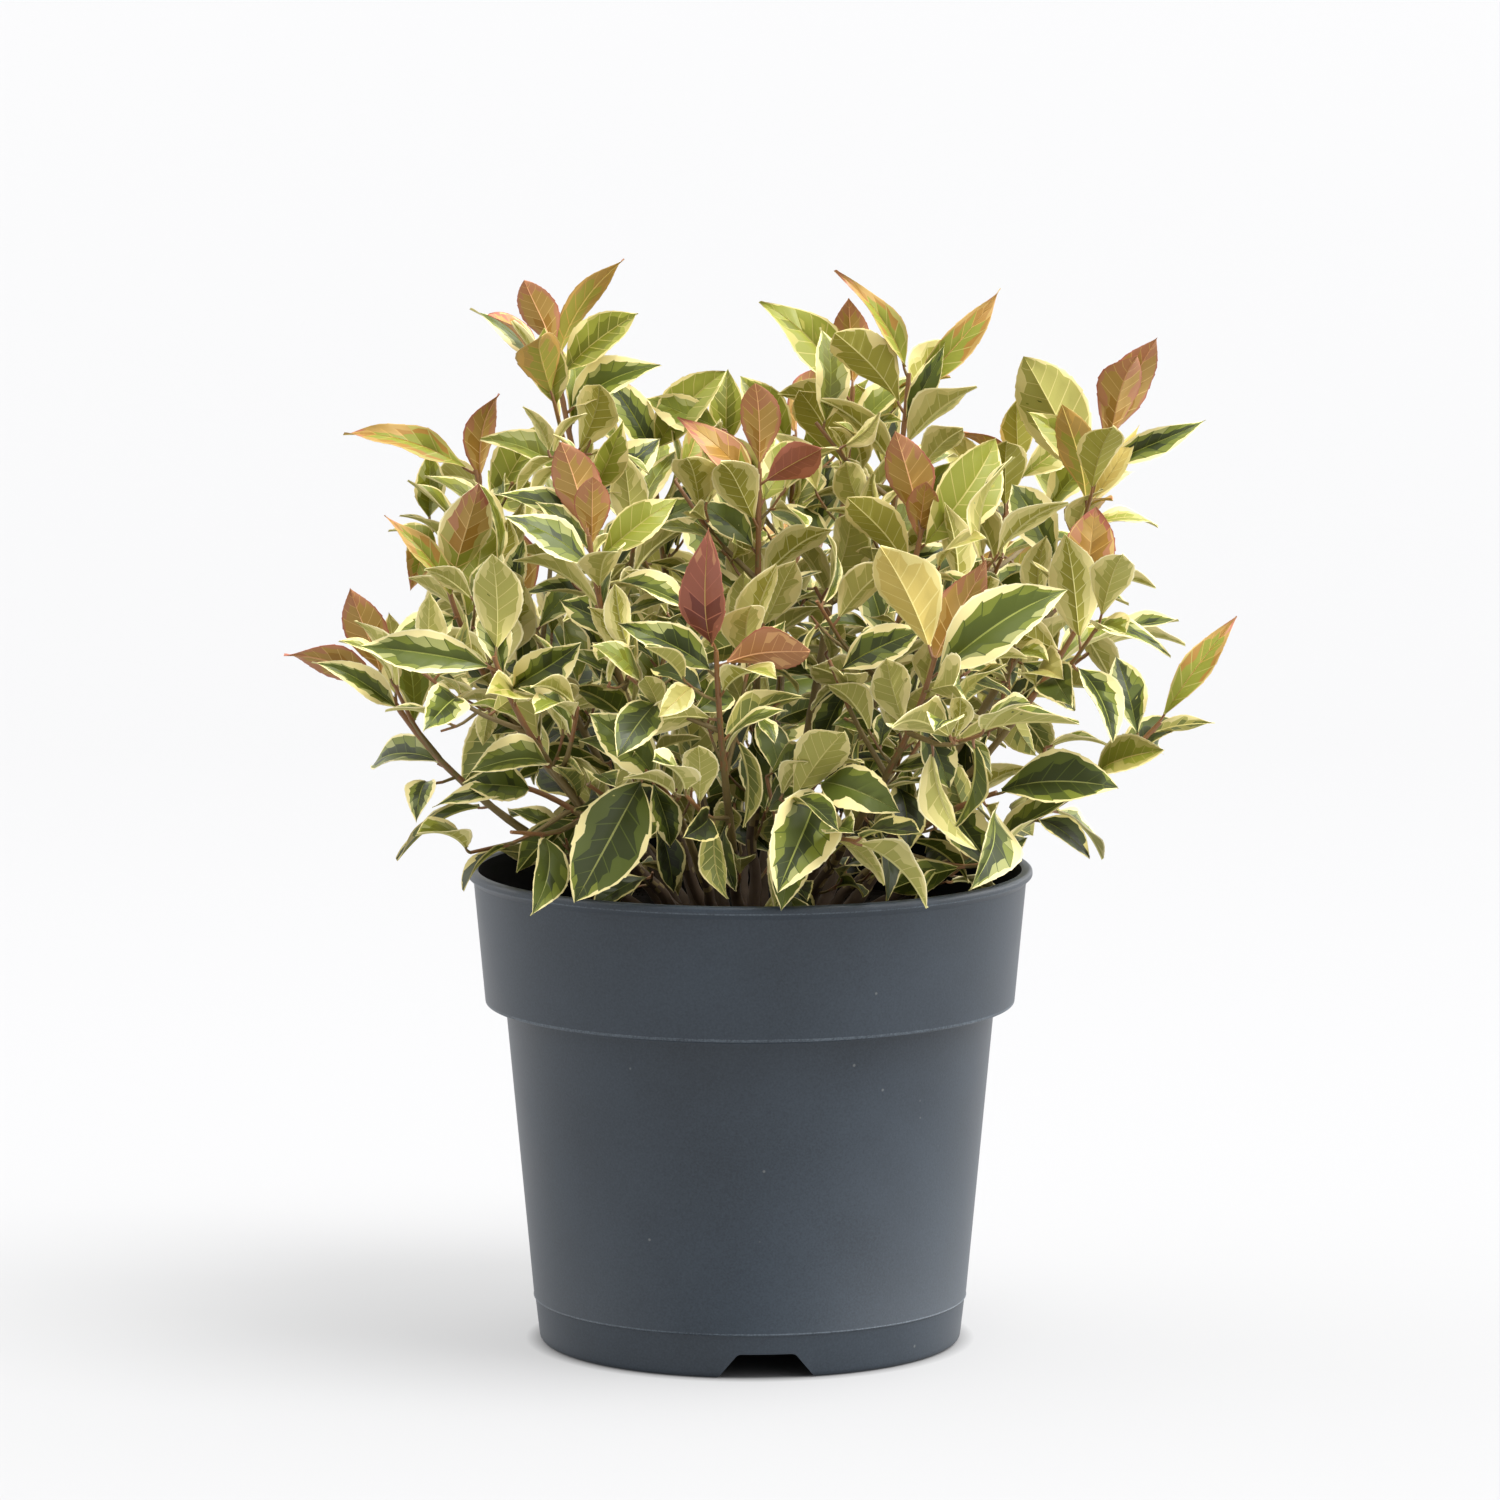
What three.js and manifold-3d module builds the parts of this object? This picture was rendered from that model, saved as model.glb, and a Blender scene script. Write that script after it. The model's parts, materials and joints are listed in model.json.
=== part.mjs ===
import * as THREE from "three";
import { mergeVertices } from "three/addons/utils/BufferGeometryUtils.js";
import Module from "manifold-3d";

const wasm = await Module();
wasm.setup();

// Drooping leucothoe in a nursery pot. Sizes are in millimetres, +Z is up and the ground is z = 0.

// The pot's axis, set so that the origin is under the middle of the whole plant's box
const potAxis = [-4, -7.2];

// Round nursery pot, 190 mm across its rim
const potSegments = 36;
const wallThickness = 1.6;
const rimRadius = 95;
const rimHeight = 160.8;
const beadDepth = 4.4;
const beadProud = 2.1;
const bandFootRadius = 88.6;
const bandFoot = 115.4;
const shoulderRadius = 81.2;
const shoulder = 110.2;
const seamRadius = 72.4;
const seamHeight = 14.7;
const seamStep = 0.4;
const footRadius = 70.3;
const footRound = 2.4;
const footRingInner = 65.4;
const floorUnder = 8;
const floorThickness = 1.8;

// Drain notches through the foot ring and drain holes through the floor
const notchCount = 3;
const notchTurn = -86;
const notchHeight = 7;
const notchTopWidth = 19;
const notchFootWidth = 31;
const drainCount = 6;
const drainRadius = 5;
const drainCircle = 48;

// Substrate that fills the pot to 18 mm below its rim
const soilTop = 143;
const soilEdge = 141.6;
const soilFlatRadius = 58;
const soilClearance = 0.35;

// Limbs, with their girths given as radii
const limbGap = 0.3;
const limbSides = 5;
const limbSteps = 4;
const footGirth = 2.5;
const forkGirth = 1.7;
const tipGirth = 0.9;
const footShare = 0.26;
const curvePull = 0.36;
const twigGirth = 1;
const twigTipGirth = 0.65;
const twigLength = [38, 52];
const twigSpread = [34, 58];
const twigRise = 0.35;
const twigSag = 0.1;
const twigStretch = [0.1, 0.76];
const twigBare = 0.25;
const stemBare = 0.04;

// Leaves. A four-sided leaf is wider than life, so that it covers as much as the rounded one.
const leafKeel = 1.2;
const leafArch = 0.1;
const leafFullness = 1.14;
const leafSink = 0.4;
const leafNeck = 0.15;
const leafSpacing = 8.4;
const crestSpacing = 4;
const crestFacing = 25;
const goldenTurn = 137.5;

// Habit of the leaves, as pairs for the lowest and the highest on a limb or for the least and most
const leafSpread = [74, 40];
const leafDroop = [0.62, 0.05];
const leafLength = [36, 42];
const leafRatio = [0.42, 0.54];
const upperShrink = 0.14;
const turnVariation = 24;
const spreadVariation = 16;
const droopVariation = 0.2;
const rollVariation = 90;
const upperTurn = 0.4;

// How a limb or leaf is kept in its space
const tries = 10;
const turnPerTry = 0.4;
const shrinkPerTry = 0.05;
const spaceMargin = 1.3;
const limbClearance = 0.7;
const potClearance = 2;
const shortestEdge = 0.05;

// The crown's reach from the middle of its box, at heights from the rim to the top
const crownMiddle = [6.5, 2];
const crownReach = [[152, 84], [162, 130], [200, 144], [236, 163], [256, 147], [302, 149], [338, 132],
  [352, 94], [368, 56]];

// Shoots as azimuth, reach and height of the tip, slope at the foot, slope at the tip, and the share
// of the length that is bare, its twigs, and the seed of its twigs and leaves. Each crest leaf is
// azimuth, elevation, length, width over length, and the azimuth that its upper side faces.
const shoots = [
  { name: "top_left", tip: [163, 69, 333], slopes: [74, 80], bare: 0.36, twigs: 3, seed: 56,
    crest: [[190, 68, 26, 0.6, 80], [4, 61, 34, 0.3, 120], [0, 55, 39, 0.54, -100],
      [181, 52, 46, 0.28, -70], [-139, 83, 28, 0.53, 90], [-28, 31, 37, 0.43, -120]] },
  { name: "top_right", tip: [0, 53, 327], slopes: [74, 86], bare: 0.34, twigs: 3, seed: 194,
    crest: [[198, 57, 42, 0.28, -60], [44, 37, 25, 0.44, 100], [10, 49, 42, 0.28, -70],
      [-144, 45, 39, 0.57, 70], [-26, 61, 30, 0.31, -80]] },
  { name: "top_middle", tip: [41, 46, 320], slopes: [78, 86], bare: 0.34, twigs: 2, seed: 113,
    crest: [[128, 86, 30, 0.48, 80], [192, 51, 44, 0.39, -80], [60, 60, 30, 0.4, 180],
      [102, 26, 37, 0.54, 0]] },
  { name: "right_upper", tip: [5, 121, 303], slopes: [58, 76], bare: 0.32, twigs: 3, seed: 1,
    crest: [[-36, 72, 32, 0.53, 90], [4, 68, 42, 0.4, 110], [5, 37, 41, 0.3, -60],
      [202, 46, 32, 0.46, -80], [-184, 63, 49, 0.54, 100], [-10, 38, 33, 0.29, -70]] },
  { name: "right_far", tip: [-8, 138, 212], slopes: [36, 48], bare: 0.34, twigs: 2, seed: 217,
    crest: [[-25, 62, 48, 0.28, -90], [4, 5, 24, 0.32, 120], [-173, 86, 32, 0.46, -90],
      [150, 62, 34, 0.36, -60]] },
  { name: "right_middle", tip: [-16, 116, 251], slopes: [50, 62], bare: 0.32, twigs: 3, seed: 9,
    crest: [[43, 52, 40, 0.6, -90], [-27, -19, 38, 0.29, -60], [118, 36, 32, 0.39, 0]] },
  { name: "right_low", tip: [-30, 94, 192], slopes: [42, 18], bare: 0.28, twigs: 2, seed: 134,
    crest: [[-24, 7, 42, 0.54, -60], [-91, -30, 43, 0.51, 0]] },
  { name: "front_right", tip: [-53, 100, 241], slopes: [54, 68], bare: 0.3, twigs: 3, seed: 169,
    crest: [[-143, 61, 43, 0.61, 80], [7, 63, 39, 0.39, 90], [-9, 36, 52, 0.45, -90],
      [-72, 10, 42, 0.56, 0]] },
  { name: "centre_right", tip: [-36, 70, 279], slopes: [68, 76], bare: 0.34, twigs: 3, seed: 174,
    crest: [[-140, 72, 48, 0.53, 80], [-23, 55, 31, 0.5, 90], [24, 51, 46, 0.53, -60]] },
  { name: "front_low_right", tip: [-74, 80, 200], slopes: [46, 24], bare: 0.26, twigs: 3, seed: 101,
    crest: [[-24, 11, 39, 0.53, -90], [-106, -35, 46, 0.61, -60], [160, 20, 38, 0.46, -70]] },
  { name: "front_middle", tip: [-97, 90, 244], slopes: [56, 74], bare: 0.28, twigs: 3, seed: 134,
    crest: [[-101, 69, 43, 0.39, -120], [-24, 11, 40, 0.62, 90], [187, 30, 35, 0.39, -60]] },
  { name: "centre", tip: [-82, 22, 297], slopes: [82, 86], bare: 0.3, twigs: 3, seed: 163,
    crest: [[-102, 82, 35, 0.56, 80], [-36, 28, 40, 0.49, 60], [176, 46, 36, 0.35, -70],
      [58, 38, 34, 0.42, -90]] },
  { name: "front_low_left", tip: [-117, 76, 202], slopes: [46, 22], bare: 0.26, twigs: 3, seed: 67,
    crest: [[-128, -46, 51, 0.53, -80], [-50, -20, 36, 0.45, -90], [220, 43, 34, 0.62, -80]] },
  { name: "front_left", tip: [-140, 109, 240], slopes: [50, 68], bare: 0.3, twigs: 3, seed: 113,
    crest: [[-100, 86, 34, 0.62, 80], [183, 11, 45, 0.34, -80], [45, 58, 36, 0.52, -80],
      [-40, 30, 34, 0.44, -60]] },
  { name: "copper_left", tip: [-134, 76, 278], slopes: [66, 80], bare: 0.34, twigs: 3, seed: 104,
    crest: [[155, 73, 48, 0.62, 90], [-81, 83, 24, 0.62, 90], [16, 37, 38, 0.38, -80],
      [190, 35, 34, 0.42, -60]] },
  { name: "left_upper", tip: [-166, 103, 257], slopes: [56, 74], bare: 0.32, twigs: 3, seed: 151,
    crest: [[-28, 73, 45, 0.48, 100], [175, 54, 36, 0.29, -60], [225, -15, 34, 0.36, -80],
      [70, 61, 40, 0.47, -60]] },
  { name: "left_far", tip: [-174, 124, 226], slopes: [36, 62], bare: 0.34, twigs: 2, seed: 201,
    crest: [[187, 71, 32, 0.47, 90], [189, 23, 36, 0.36, 100], [-60, 86, 34, 0.48, 90],
      [173, 20, 39, 0.33, -90]] },
  { name: "left_low", tip: [-150, 88, 194], slopes: [44, 18], bare: 0.26, twigs: 3, seed: 129,
    crest: [[-147, -6, 33, 0.28, -80], [-121, -46, 37, 0.55, -60], [112, -7, 36, 0.44, 0]] },
  { name: "back_left", tip: [152, 106, 290], slopes: [60, 72], bare: 0.32, twigs: 3, seed: 168,
    crest: [[186, 20, 45, 0.3, -60], [-20, 82, 31, 0.4, 120], [117, 8, 36, 0.44, 0]] },
  { name: "back_middle_left", tip: [120, 68, 300], slopes: [70, 80], bare: 0.34, twigs: 3, seed: 143,
    crest: [[153, 58, 27, 0.42, 0], [-17, 49, 37, 0.52, -90], [195, 86, 40, 0.48, -60]] },
  { name: "back_right", tip: [33, 110, 290], slopes: [60, 72], bare: 0.32, twigs: 3, seed: 149,
    crest: [[-122, 86, 24, 0.54, 90], [28, 44, 32, 0.39, -60], [130, 54, 32, 0.48, 20]] },
  { name: "back_middle_right", tip: [78, 74, 300], slopes: [68, 80], bare: 0.34, twigs: 3, seed: 134,
    crest: [[48, 61, 28, 0.49, 160], [179, 55, 30, 0.53, -90], [-13, 48, 39, 0.32, -60]] },
  { name: "back_far_left", tip: [131, 124, 230], slopes: [42, 54], bare: 0.32, twigs: 3, seed: 215,
    crest: [[126, 72, 46, 0.44, 40], [190, 60, 30, 0.52, 0], [51, 47, 40, 0.28, 160]] },
  { name: "back_far", tip: [93, 126, 238], slopes: [44, 56], bare: 0.32, twigs: 3, seed: 140,
    crest: [[90, 40, 40, 0.45, 180], [5, 66, 30, 0.48, 180], [162, 29, 46, 0.5, 60]] },
  { name: "back_far_right", tip: [54, 124, 228], slopes: [42, 54], bare: 0.32, twigs: 3, seed: 24,
    crest: [[25, 39, 51, 0.49, 140], [-33, 62, 32, 0.49, 60], [110, 38, 38, 0.44, 20]] },
];

const up = new THREE.Vector3(0, 0, 1);
const radians = (degrees) => (degrees * Math.PI) / 180;
const mix = (from, to, share) => from + (to - from) * share;

// A direction from its azimuth and its elevation
function heading(azimuth, elevation) {
  const [a, e] = [radians(azimuth), radians(elevation)];
  return new THREE.Vector3(Math.cos(a) * Math.cos(e), Math.sin(a) * Math.cos(e), Math.sin(e));
}

// Even random numbers from 0 to 1, the same for the same keys
function seeded(...keys) {
  let state = 17;
  for (const key of keys) {
    state = (Math.imul(state, 1597334677) + key * 40503 + 12345) >>> 0;
  }
  return () => {
    state = (state + 0x6d2b79f5) >>> 0;
    let t = state;
    t = Math.imul(t ^ (t >>> 15), t | 1);
    t ^= t + Math.imul(t ^ (t >>> 7), t | 61);
    return ((t ^ (t >>> 14)) >>> 0) / 4294967296;
  };
}

// A closed solid from a geometry, with its shared corners merged
function solidOf(geometry) {
  const bare = new THREE.BufferGeometry();
  bare.setAttribute("position", geometry.getAttribute("position"));
  bare.setIndex(geometry.index);
  const merged = mergeVertices(bare, 1e-3);
  const corners = merged.index.array;
  const kept = [];
  for (let i = 0; i < corners.length; i += 3) {
    const [a, b, c] = [corners[i], corners[i + 1], corners[i + 2]];
    if (a !== b && b !== c && c !== a) {
      kept.push(a, b, c);
    }
  }
  const vertProperties = merged.getAttribute("position").array;
  return new wasm.Manifold(new wasm.Mesh({ numProp: 3, vertProperties, triVerts: new Uint32Array(kept) }));
}

// The faces of a solid as a geometry
function geometryOf(solid) {
  const mesh = solid.getMesh();
  const geometry = new THREE.BufferGeometry();
  geometry.setAttribute("position", new THREE.BufferAttribute(mesh.vertProperties, mesh.numProp));
  geometry.setIndex(new THREE.BufferAttribute(mesh.triVerts, 1));
  const flat = geometry.toNonIndexed();
  flat.computeVertexNormals();
  return flat;
}

// A body of revolution about +Z from radius and height pairs, listed bottom first on the outside
function turned(profile) {
  const points = profile.map(([radius, height]) => new THREE.Vector2(radius, height));
  const lathe = new THREE.LatheGeometry(points, potSegments);
  lathe.rotateX(Math.PI / 2);
  return solidOf(lathe);
}

// A tapering limb along points, with flat ends; the first ring lies level where levelFoot is set
function limb(points, girths, sides, levelFoot) {
  const positions = [];
  const index = [];
  const last = points.length - 1;
  const side = new THREE.Vector3();
  points.forEach((point, i) => {
    const ahead = points[Math.min(i + 1, last)];
    const behind = points[Math.max(i - 1, 0)];
    const along = levelFoot && i === 0 ? up.clone() : ahead.clone().sub(behind).normalize();
    if (i === 0) {
      side.set(1, 0, 0).addScaledVector(along, -along.x);
      if (side.length() < 0.3) {
        side.set(0, 1, 0).addScaledVector(along, -along.y);
      }
    }
    side.addScaledVector(along, -side.dot(along)).normalize();
    const across = along.clone().cross(side);
    for (let k = 0; k < sides; k += 1) {
      const turn = (2 * Math.PI * k) / sides;
      const corner = point.clone();
      corner.addScaledVector(side, girths[i] * Math.cos(turn));
      corner.addScaledVector(across, girths[i] * Math.sin(turn));
      positions.push(corner.x, corner.y, corner.z);
    }
  });
  for (let i = 0; i < last; i += 1) {
    for (let k = 0; k < sides; k += 1) {
      const [a, b] = [i * sides + k, i * sides + ((k + 1) % sides)];
      index.push(a, b, b + sides, a, b + sides, a + sides);
    }
  }
  for (let k = 1; k < sides - 1; k += 1) {
    const top = last * sides;
    index.push(0, k + 1, k, top, top + k, top + k + 1);
  }
  const geometry = new THREE.BufferGeometry();
  geometry.setAttribute("position", new THREE.Float32BufferAttribute(positions, 3));
  geometry.setIndex(index);
  return solidOf(geometry);
}

// A leaf from its root, direction, upper side, length, width over length and the stem's girth.
// Its middle is arched, with the midrib as a keel below, and its edges and faces start at the neck,
// because the root lies inside the stem.
function leafShape(root, along, upper, length, ratio, girth) {
  const across = along.clone().cross(upper).normalize();
  const face = across.clone().cross(along).normalize();
  const half = (leafFullness * length * ratio) / 2;
  const neck = root.clone().addScaledVector(along, leafNeck * length).addScaledVector(face, 1);
  const middle = root.clone().addScaledVector(along, 0.5 * length);
  middle.addScaledVector(face, leafArch * length);
  const tip = root.clone().addScaledVector(along, length);
  const left = middle.clone().addScaledVector(across, -half);
  const right = middle.clone().addScaledVector(across, half);
  const outline = [[neck, left], [left, tip], [neck, right], [right, tip]];
  return {
    edges: outline.map(([from, to]) => new THREE.Line3(from, to)),
    faces: [[neck, right, left], [right, tip, left]],
    corners: [
      root.clone().addScaledVector(along, -leafSink * girth),
      tip,
      left,
      right,
      middle.clone().addScaledVector(face, -leafKeel),
    ],
  };
}

function leafSolid({ corners }) {
  const positions = corners.flatMap((corner) => [corner.x, corner.y, corner.z]);
  const geometry = new THREE.BufferGeometry();
  geometry.setAttribute("position", new THREE.Float32BufferAttribute(positions, 3));
  geometry.setIndex([0, 3, 2, 3, 1, 2, 0, 4, 3, 3, 4, 1, 1, 4, 2, 2, 4, 0]);
  return solidOf(geometry);
}

// The curve of a shoot from its foot on the soil to its tip
function shootCurve({ tip: [azimuth, reach, height], slopes }) {
  const out = heading(azimuth, 0);
  const foot = out.clone().multiplyScalar(footShare * reach).setZ(soilTop + limbGap);
  const tip = out.clone().multiplyScalar(reach).setZ(height);
  const pull = curvePull * foot.distanceTo(tip);
  const leaving = foot.clone().addScaledVector(heading(azimuth, slopes[0]), pull);
  const arriving = tip.clone().addScaledVector(heading(azimuth, slopes[1]), -pull);
  return new THREE.CubicBezierCurve3(foot, leaving, arriving, tip);
}

function curvePoints(curve, from, to, steps) {
  return Array.from({ length: steps + 1 }, (_, i) => curve.getPointAt(mix(from, to, i / steps)));
}

// Straight pieces of every limb, used to keep leaves and twigs in their own space
const curves = shoots.map(shootCurve);
const lengths = curves.map((curve) => curve.getLength());
const segmentsOf = (points) => points.slice(1).map((point, i) => new THREE.Line3(points[i], point));
const boughLines = curves.map((curve, i) => segmentsOf(curvePoints(curve, 0, shoots[i].bare, limbSteps)));
const stemLines = curves.map((curve, i) => segmentsOf(curvePoints(curve, shoots[i].bare, 1, limbSteps)));

// The crown's reach at a height
function reachAt(height) {
  const above = crownReach.findIndex(([level]) => level > height);
  if (above < 1) {
    return above < 0 ? 0 : crownReach[0][1];
  }
  const [[low, from], [high, to]] = [crownReach[above - 1], crownReach[above]];
  return mix(from, to, (height - low) / (high - low));
}

const nearest = new THREE.Vector3();
function distanceTo(lines, point) {
  return Math.min(...lines.map((line) => line.closestPointToPoint(point, true, nearest).distanceTo(point)));
}

// Inside the crown, and nearer to the mass's own stem than to any other mass's stem
function inOwnSpace(point, own) {
  if (Math.hypot(point.x - crownMiddle[0], point.y - crownMiddle[1]) > reachAt(point.z)) {
    return false;
  }
  const reach = distanceTo(stemLines[own], point) + spaceMargin;
  return stemLines.every((lines, i) => i === own || distanceTo(lines, point) > reach);
}

// Clear of the pot's wall and rim, and above the soil
function clearOfPot(point) {
  const radius = Math.hypot(point.x, point.y);
  const inner = bandFootRadius - 2 * potClearance;
  const floor = radius > inner ? rimHeight : soilTop;
  return point.z > floor + potClearance || radius > rimRadius + potClearance;
}

// The nearest distance between two straight pieces
function lineGap(one, other) {
  const u = one.end.clone().sub(one.start);
  const v = other.end.clone().sub(other.start);
  const w = one.start.clone().sub(other.start);
  const [a, b, c, d, e] = [u.dot(u), u.dot(v), v.dot(v), u.dot(w), v.dot(w)];
  const det = a * c - b * b;
  let s = det > 1e-9 ? THREE.MathUtils.clamp((b * e - c * d) / det, 0, 1) : 0;
  const t = THREE.MathUtils.clamp((b * s + e) / c, 0, 1);
  s = THREE.MathUtils.clamp((b * t - d) / a, 0, 1);
  return w.addScaledVector(u, s).addScaledVector(v, -t).length();
}

const ray = new THREE.Ray();
const hit = new THREE.Vector3();
function pierces(line, a, b, c) {
  const along = line.delta(new THREE.Vector3());
  const length = along.length();
  ray.set(line.start, along.normalize());
  return ray.intersectTriangle(a, b, c, false, hit) !== null && hit.distanceTo(line.start) < length;
}

// A line clear of all limbs but its own mass's stem
function clearOfLimbs(line, own, girth) {
  const space = footGirth + girth + limbClearance;
  const clearOfBoughs = boughLines.every((lines) => lines.every((bough) => lineGap(bough, line) > space));
  const others = stemLines.filter((_, i) => i !== own);
  return clearOfBoughs && others.every((lines) => lines.every((stem) => lineGap(stem, line) > space));
}

function fitsSpace(line, own, girth, checks) {
  for (let i = 1; i <= checks; i += 1) {
    const point = line.at(i / checks, new THREE.Vector3());
    if (!inOwnSpace(point, own) || !clearOfPot(point)) {
      return false;
    }
  }
  return clearOfLimbs(line, own, girth);
}

// Some lines through a leaf's blade
const crosses = (lines, leaf) => lines.some((line) => leaf.faces.some((face) => pierces(line, ...face)));

// A leaf in its mass's space, clear of the limbs and of what the mass has grown so far
function leafFits(leaf, own, grown) {
  return (
    leaf.edges.every((edge) => fitsSpace(edge, own, 0, 4)) &&
    !crosses(grown.lines, leaf) &&
    !boughLines.some((lines) => crosses(lines, leaf)) &&
    !grown.leaves.some((other) => crosses(leaf.edges, other) || crosses(other.edges, leaf))
  );
}

// The upper side of a hanging or spreading leaf: up and back along the stem, rolled about the leaf
function upperSide(along, stemWay, roll) {
  const side = up.clone().addScaledVector(stemWay, -upperTurn);
  side.addScaledVector(along, -side.dot(along)).normalize();
  return side.applyAxisAngle(along, radians(roll));
}

// The first of a few tries at a leaf that keeps to the mass's space and clear of its other leaves
function growLeaf(root, along, upper, length, ratio, girth, own, grown, draw) {
  for (let attempt = 0; attempt < tries; attempt += 1) {
    const turn = new THREE.Vector3(draw() - 0.5, draw() - 0.5, draw() - 0.5);
    const way = along.clone().addScaledVector(turn, turnPerTry * attempt).normalize();
    const size = length * (1 - shrinkPerTry * attempt);
    const leaf = leafShape(root, way, upper, size, ratio, girth);
    if (leafFits(leaf, own, grown)) {
      grown.leaves.push(leaf);
      return;
    }
  }
}

// Direction of a leaf at a turn about the stem, spread from it and drawn down by its own weight
function leafWay(stemWay, turn, spread, droop) {
  const level = new THREE.Vector3(1, 0, 0).addScaledVector(stemWay, -stemWay.x).normalize();
  const sideways = level.applyAxisAngle(stemWay, radians(turn));
  const way = stemWay.clone().multiplyScalar(Math.cos(radians(spread)));
  way.addScaledVector(sideways, Math.sin(radians(spread)));
  way.z -= droop;
  return way.normalize();
}

// A point and a direction on a limb of equal straight pieces, at a share of its length
function placeOn(lines, share) {
  const piece = Math.min(Math.floor(share * lines.length), lines.length - 1);
  const line = lines[piece];
  const point = line.at(share * lines.length - piece, new THREE.Vector3());
  return [point, line.delta(new THREE.Vector3()).normalize()];
}

// Leaves along a limb, in a spiral with one about every leafSpacing
function growLeaves(lines, length, from, to, girths, own, twig, grown) {
  const { seed } = shoots[own];
  const count = Math.floor(((to - from) * length) / leafSpacing);
  for (let i = 0; i < count; i += 1) {
    const draw = seeded(seed, twig, i);
    const share = (i + 0.35 + 0.3 * draw()) / count;
    const at = mix(from, to, share);
    const [root, stemWay] = placeOn(lines, at);
    const turn = (seed + twig + i) * goldenTurn + turnVariation * (draw() - 0.5);
    const spread = mix(...leafSpread, share) + spreadVariation * (draw() - 0.5);
    const droop = mix(...leafDroop, share) + droopVariation * (draw() - 0.5);
    const size = mix(...leafLength, draw()) * (1 - upperShrink * share * share);
    const ratio = mix(...leafRatio, draw());
    const way = leafWay(stemWay, turn, spread, droop);
    const upper = upperSide(way, stemWay, rollVariation * (draw() - 0.5));
    const girth = mix(...girths, at);
    growLeaf(root, way, upper, size, ratio, girth, own, grown, draw);
  }
}

// The crest leaves stand close together at the tip
function growCrest(lines, length, crest, own, grown) {
  crest.forEach(([azimuth, elevation, size, ratio, facing], i) => {
    const draw = seeded(shoots[own].seed, 90, i);
    const [root] = placeOn(lines, 1 - ((i + 0.4) * crestSpacing) / length);
    const way = heading(azimuth, elevation);
    growLeaf(root, way, heading(facing, crestFacing), size, ratio, tipGirth, own, grown, draw);
  });
}

// A twig from the stem, with its own leaves, tried at a few angles
function growTwig(stem, at, own, twig, grown) {
  const { seed } = shoots[own];
  const draw = seeded(seed, twig);
  const [root, stemWay] = placeOn(stem, at);
  for (let attempt = 0; attempt < tries; attempt += 1) {
    const turn = (seed + twig + draw()) * goldenTurn;
    const way = leafWay(stemWay, turn, mix(...twigSpread, draw()), twigSag);
    const size = mix(...twigLength, draw()) * (1 - shrinkPerTry * attempt);
    const bend = way.clone().addScaledVector(up, twigRise).normalize();
    const middle = root.clone().addScaledVector(way, size / 2);
    const tip = middle.clone().addScaledVector(bend, size / 2);
    const points = [root, middle, tip];
    const lines = segmentsOf(points);
    const free = lines.every((line) => fitsSpace(line, own, twigGirth, 4));
    if (free && !grown.leaves.some((leaf) => crosses(lines, leaf))) {
      const girths = [twigGirth, mix(twigGirth, twigTipGirth, 0.5), twigTipGirth];
      grown.lines.push(...lines);
      grown.limbs.push(limb(points, girths, 3, false));
      const upper = upperSide(bend, stemWay, rollVariation * (draw() - 0.5));
      growLeaf(tip, bend, upper, leafLength[0], leafRatio[0], twigTipGirth, own, grown, draw);
      growLeaves(lines, size, twigBare, 1, [twigGirth, twigTipGirth], own, twig, grown);
      return;
    }
  }
}

// One mass: its stem, twigs and leaves joined, with sealed hollows filled and loose scraps dropped
function growMass(own) {
  const { bare, twigs, crest } = shoots[own];
  const length = (1 - bare) * lengths[own] - limbGap;
  const points = curvePoints(curves[own], 1 - length / lengths[own], 1, limbSteps);
  const girths = points.map((_, i) => mix(forkGirth, tipGirth, i / limbSteps));
  const stem = segmentsOf(points);
  const grown = { limbs: [limb(points, girths, 3, false)], lines: [...stem], leaves: [] };
  growCrest(stem, length, crest, own, grown);
  for (let twig = 1; twig <= twigs; twig += 1) {
    growTwig(stem, mix(...twigStretch, (twig - 0.5) / twigs), own, twig, grown);
  }
  const crestShare = (crest.length * crestSpacing) / length;
  growLeaves(stem, length, stemBare, 1 - crestShare, [forkGirth, tipGirth], own, 0, grown);
  const joined = wasm.Manifold.union([...grown.limbs, ...grown.leaves.map(leafSolid)]);
  const bodies = joined.simplify(shortestEdge).decompose();
  return bodies.sort((one, other) => other.volume() - one.volume())[0];
}

// Pot: the outside from the foot ring up to the rim bead, then the inside down to the floor
function potProfile() {
  const beadFoot = rimHeight - beadDepth;
  const bandTopRadius = rimRadius - beadProud;
  const floorTop = floorUnder + floorThickness;
  return [
    [0, floorUnder],
    [footRingInner - 0.6, floorUnder],
    [footRingInner, 0],
    [footRadius - footRound, 0],
    [footRadius - 0.3, 0.9],
    [footRadius, footRound],
    [seamRadius - seamStep, seamHeight],
    [seamRadius, seamHeight + seamStep],
    [shoulderRadius, shoulder],
    [bandFootRadius - 1.6, shoulder + 2.6],
    [bandFootRadius, bandFoot],
    [bandTopRadius, beadFoot],
    [rimRadius, beadFoot + 1.2],
    [rimRadius, rimHeight - 1.3],
    [rimRadius - 1.4, rimHeight],
    [bandTopRadius - wallThickness + 0.5, rimHeight],
    [bandTopRadius - wallThickness, beadFoot],
    [bandFootRadius - wallThickness, bandFoot],
    [shoulderRadius - wallThickness, shoulder],
    [seamRadius - wallThickness, seamHeight],
    [footRadius - wallThickness - 0.4, floorTop],
    [0, floorTop],
  ];
}

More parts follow.
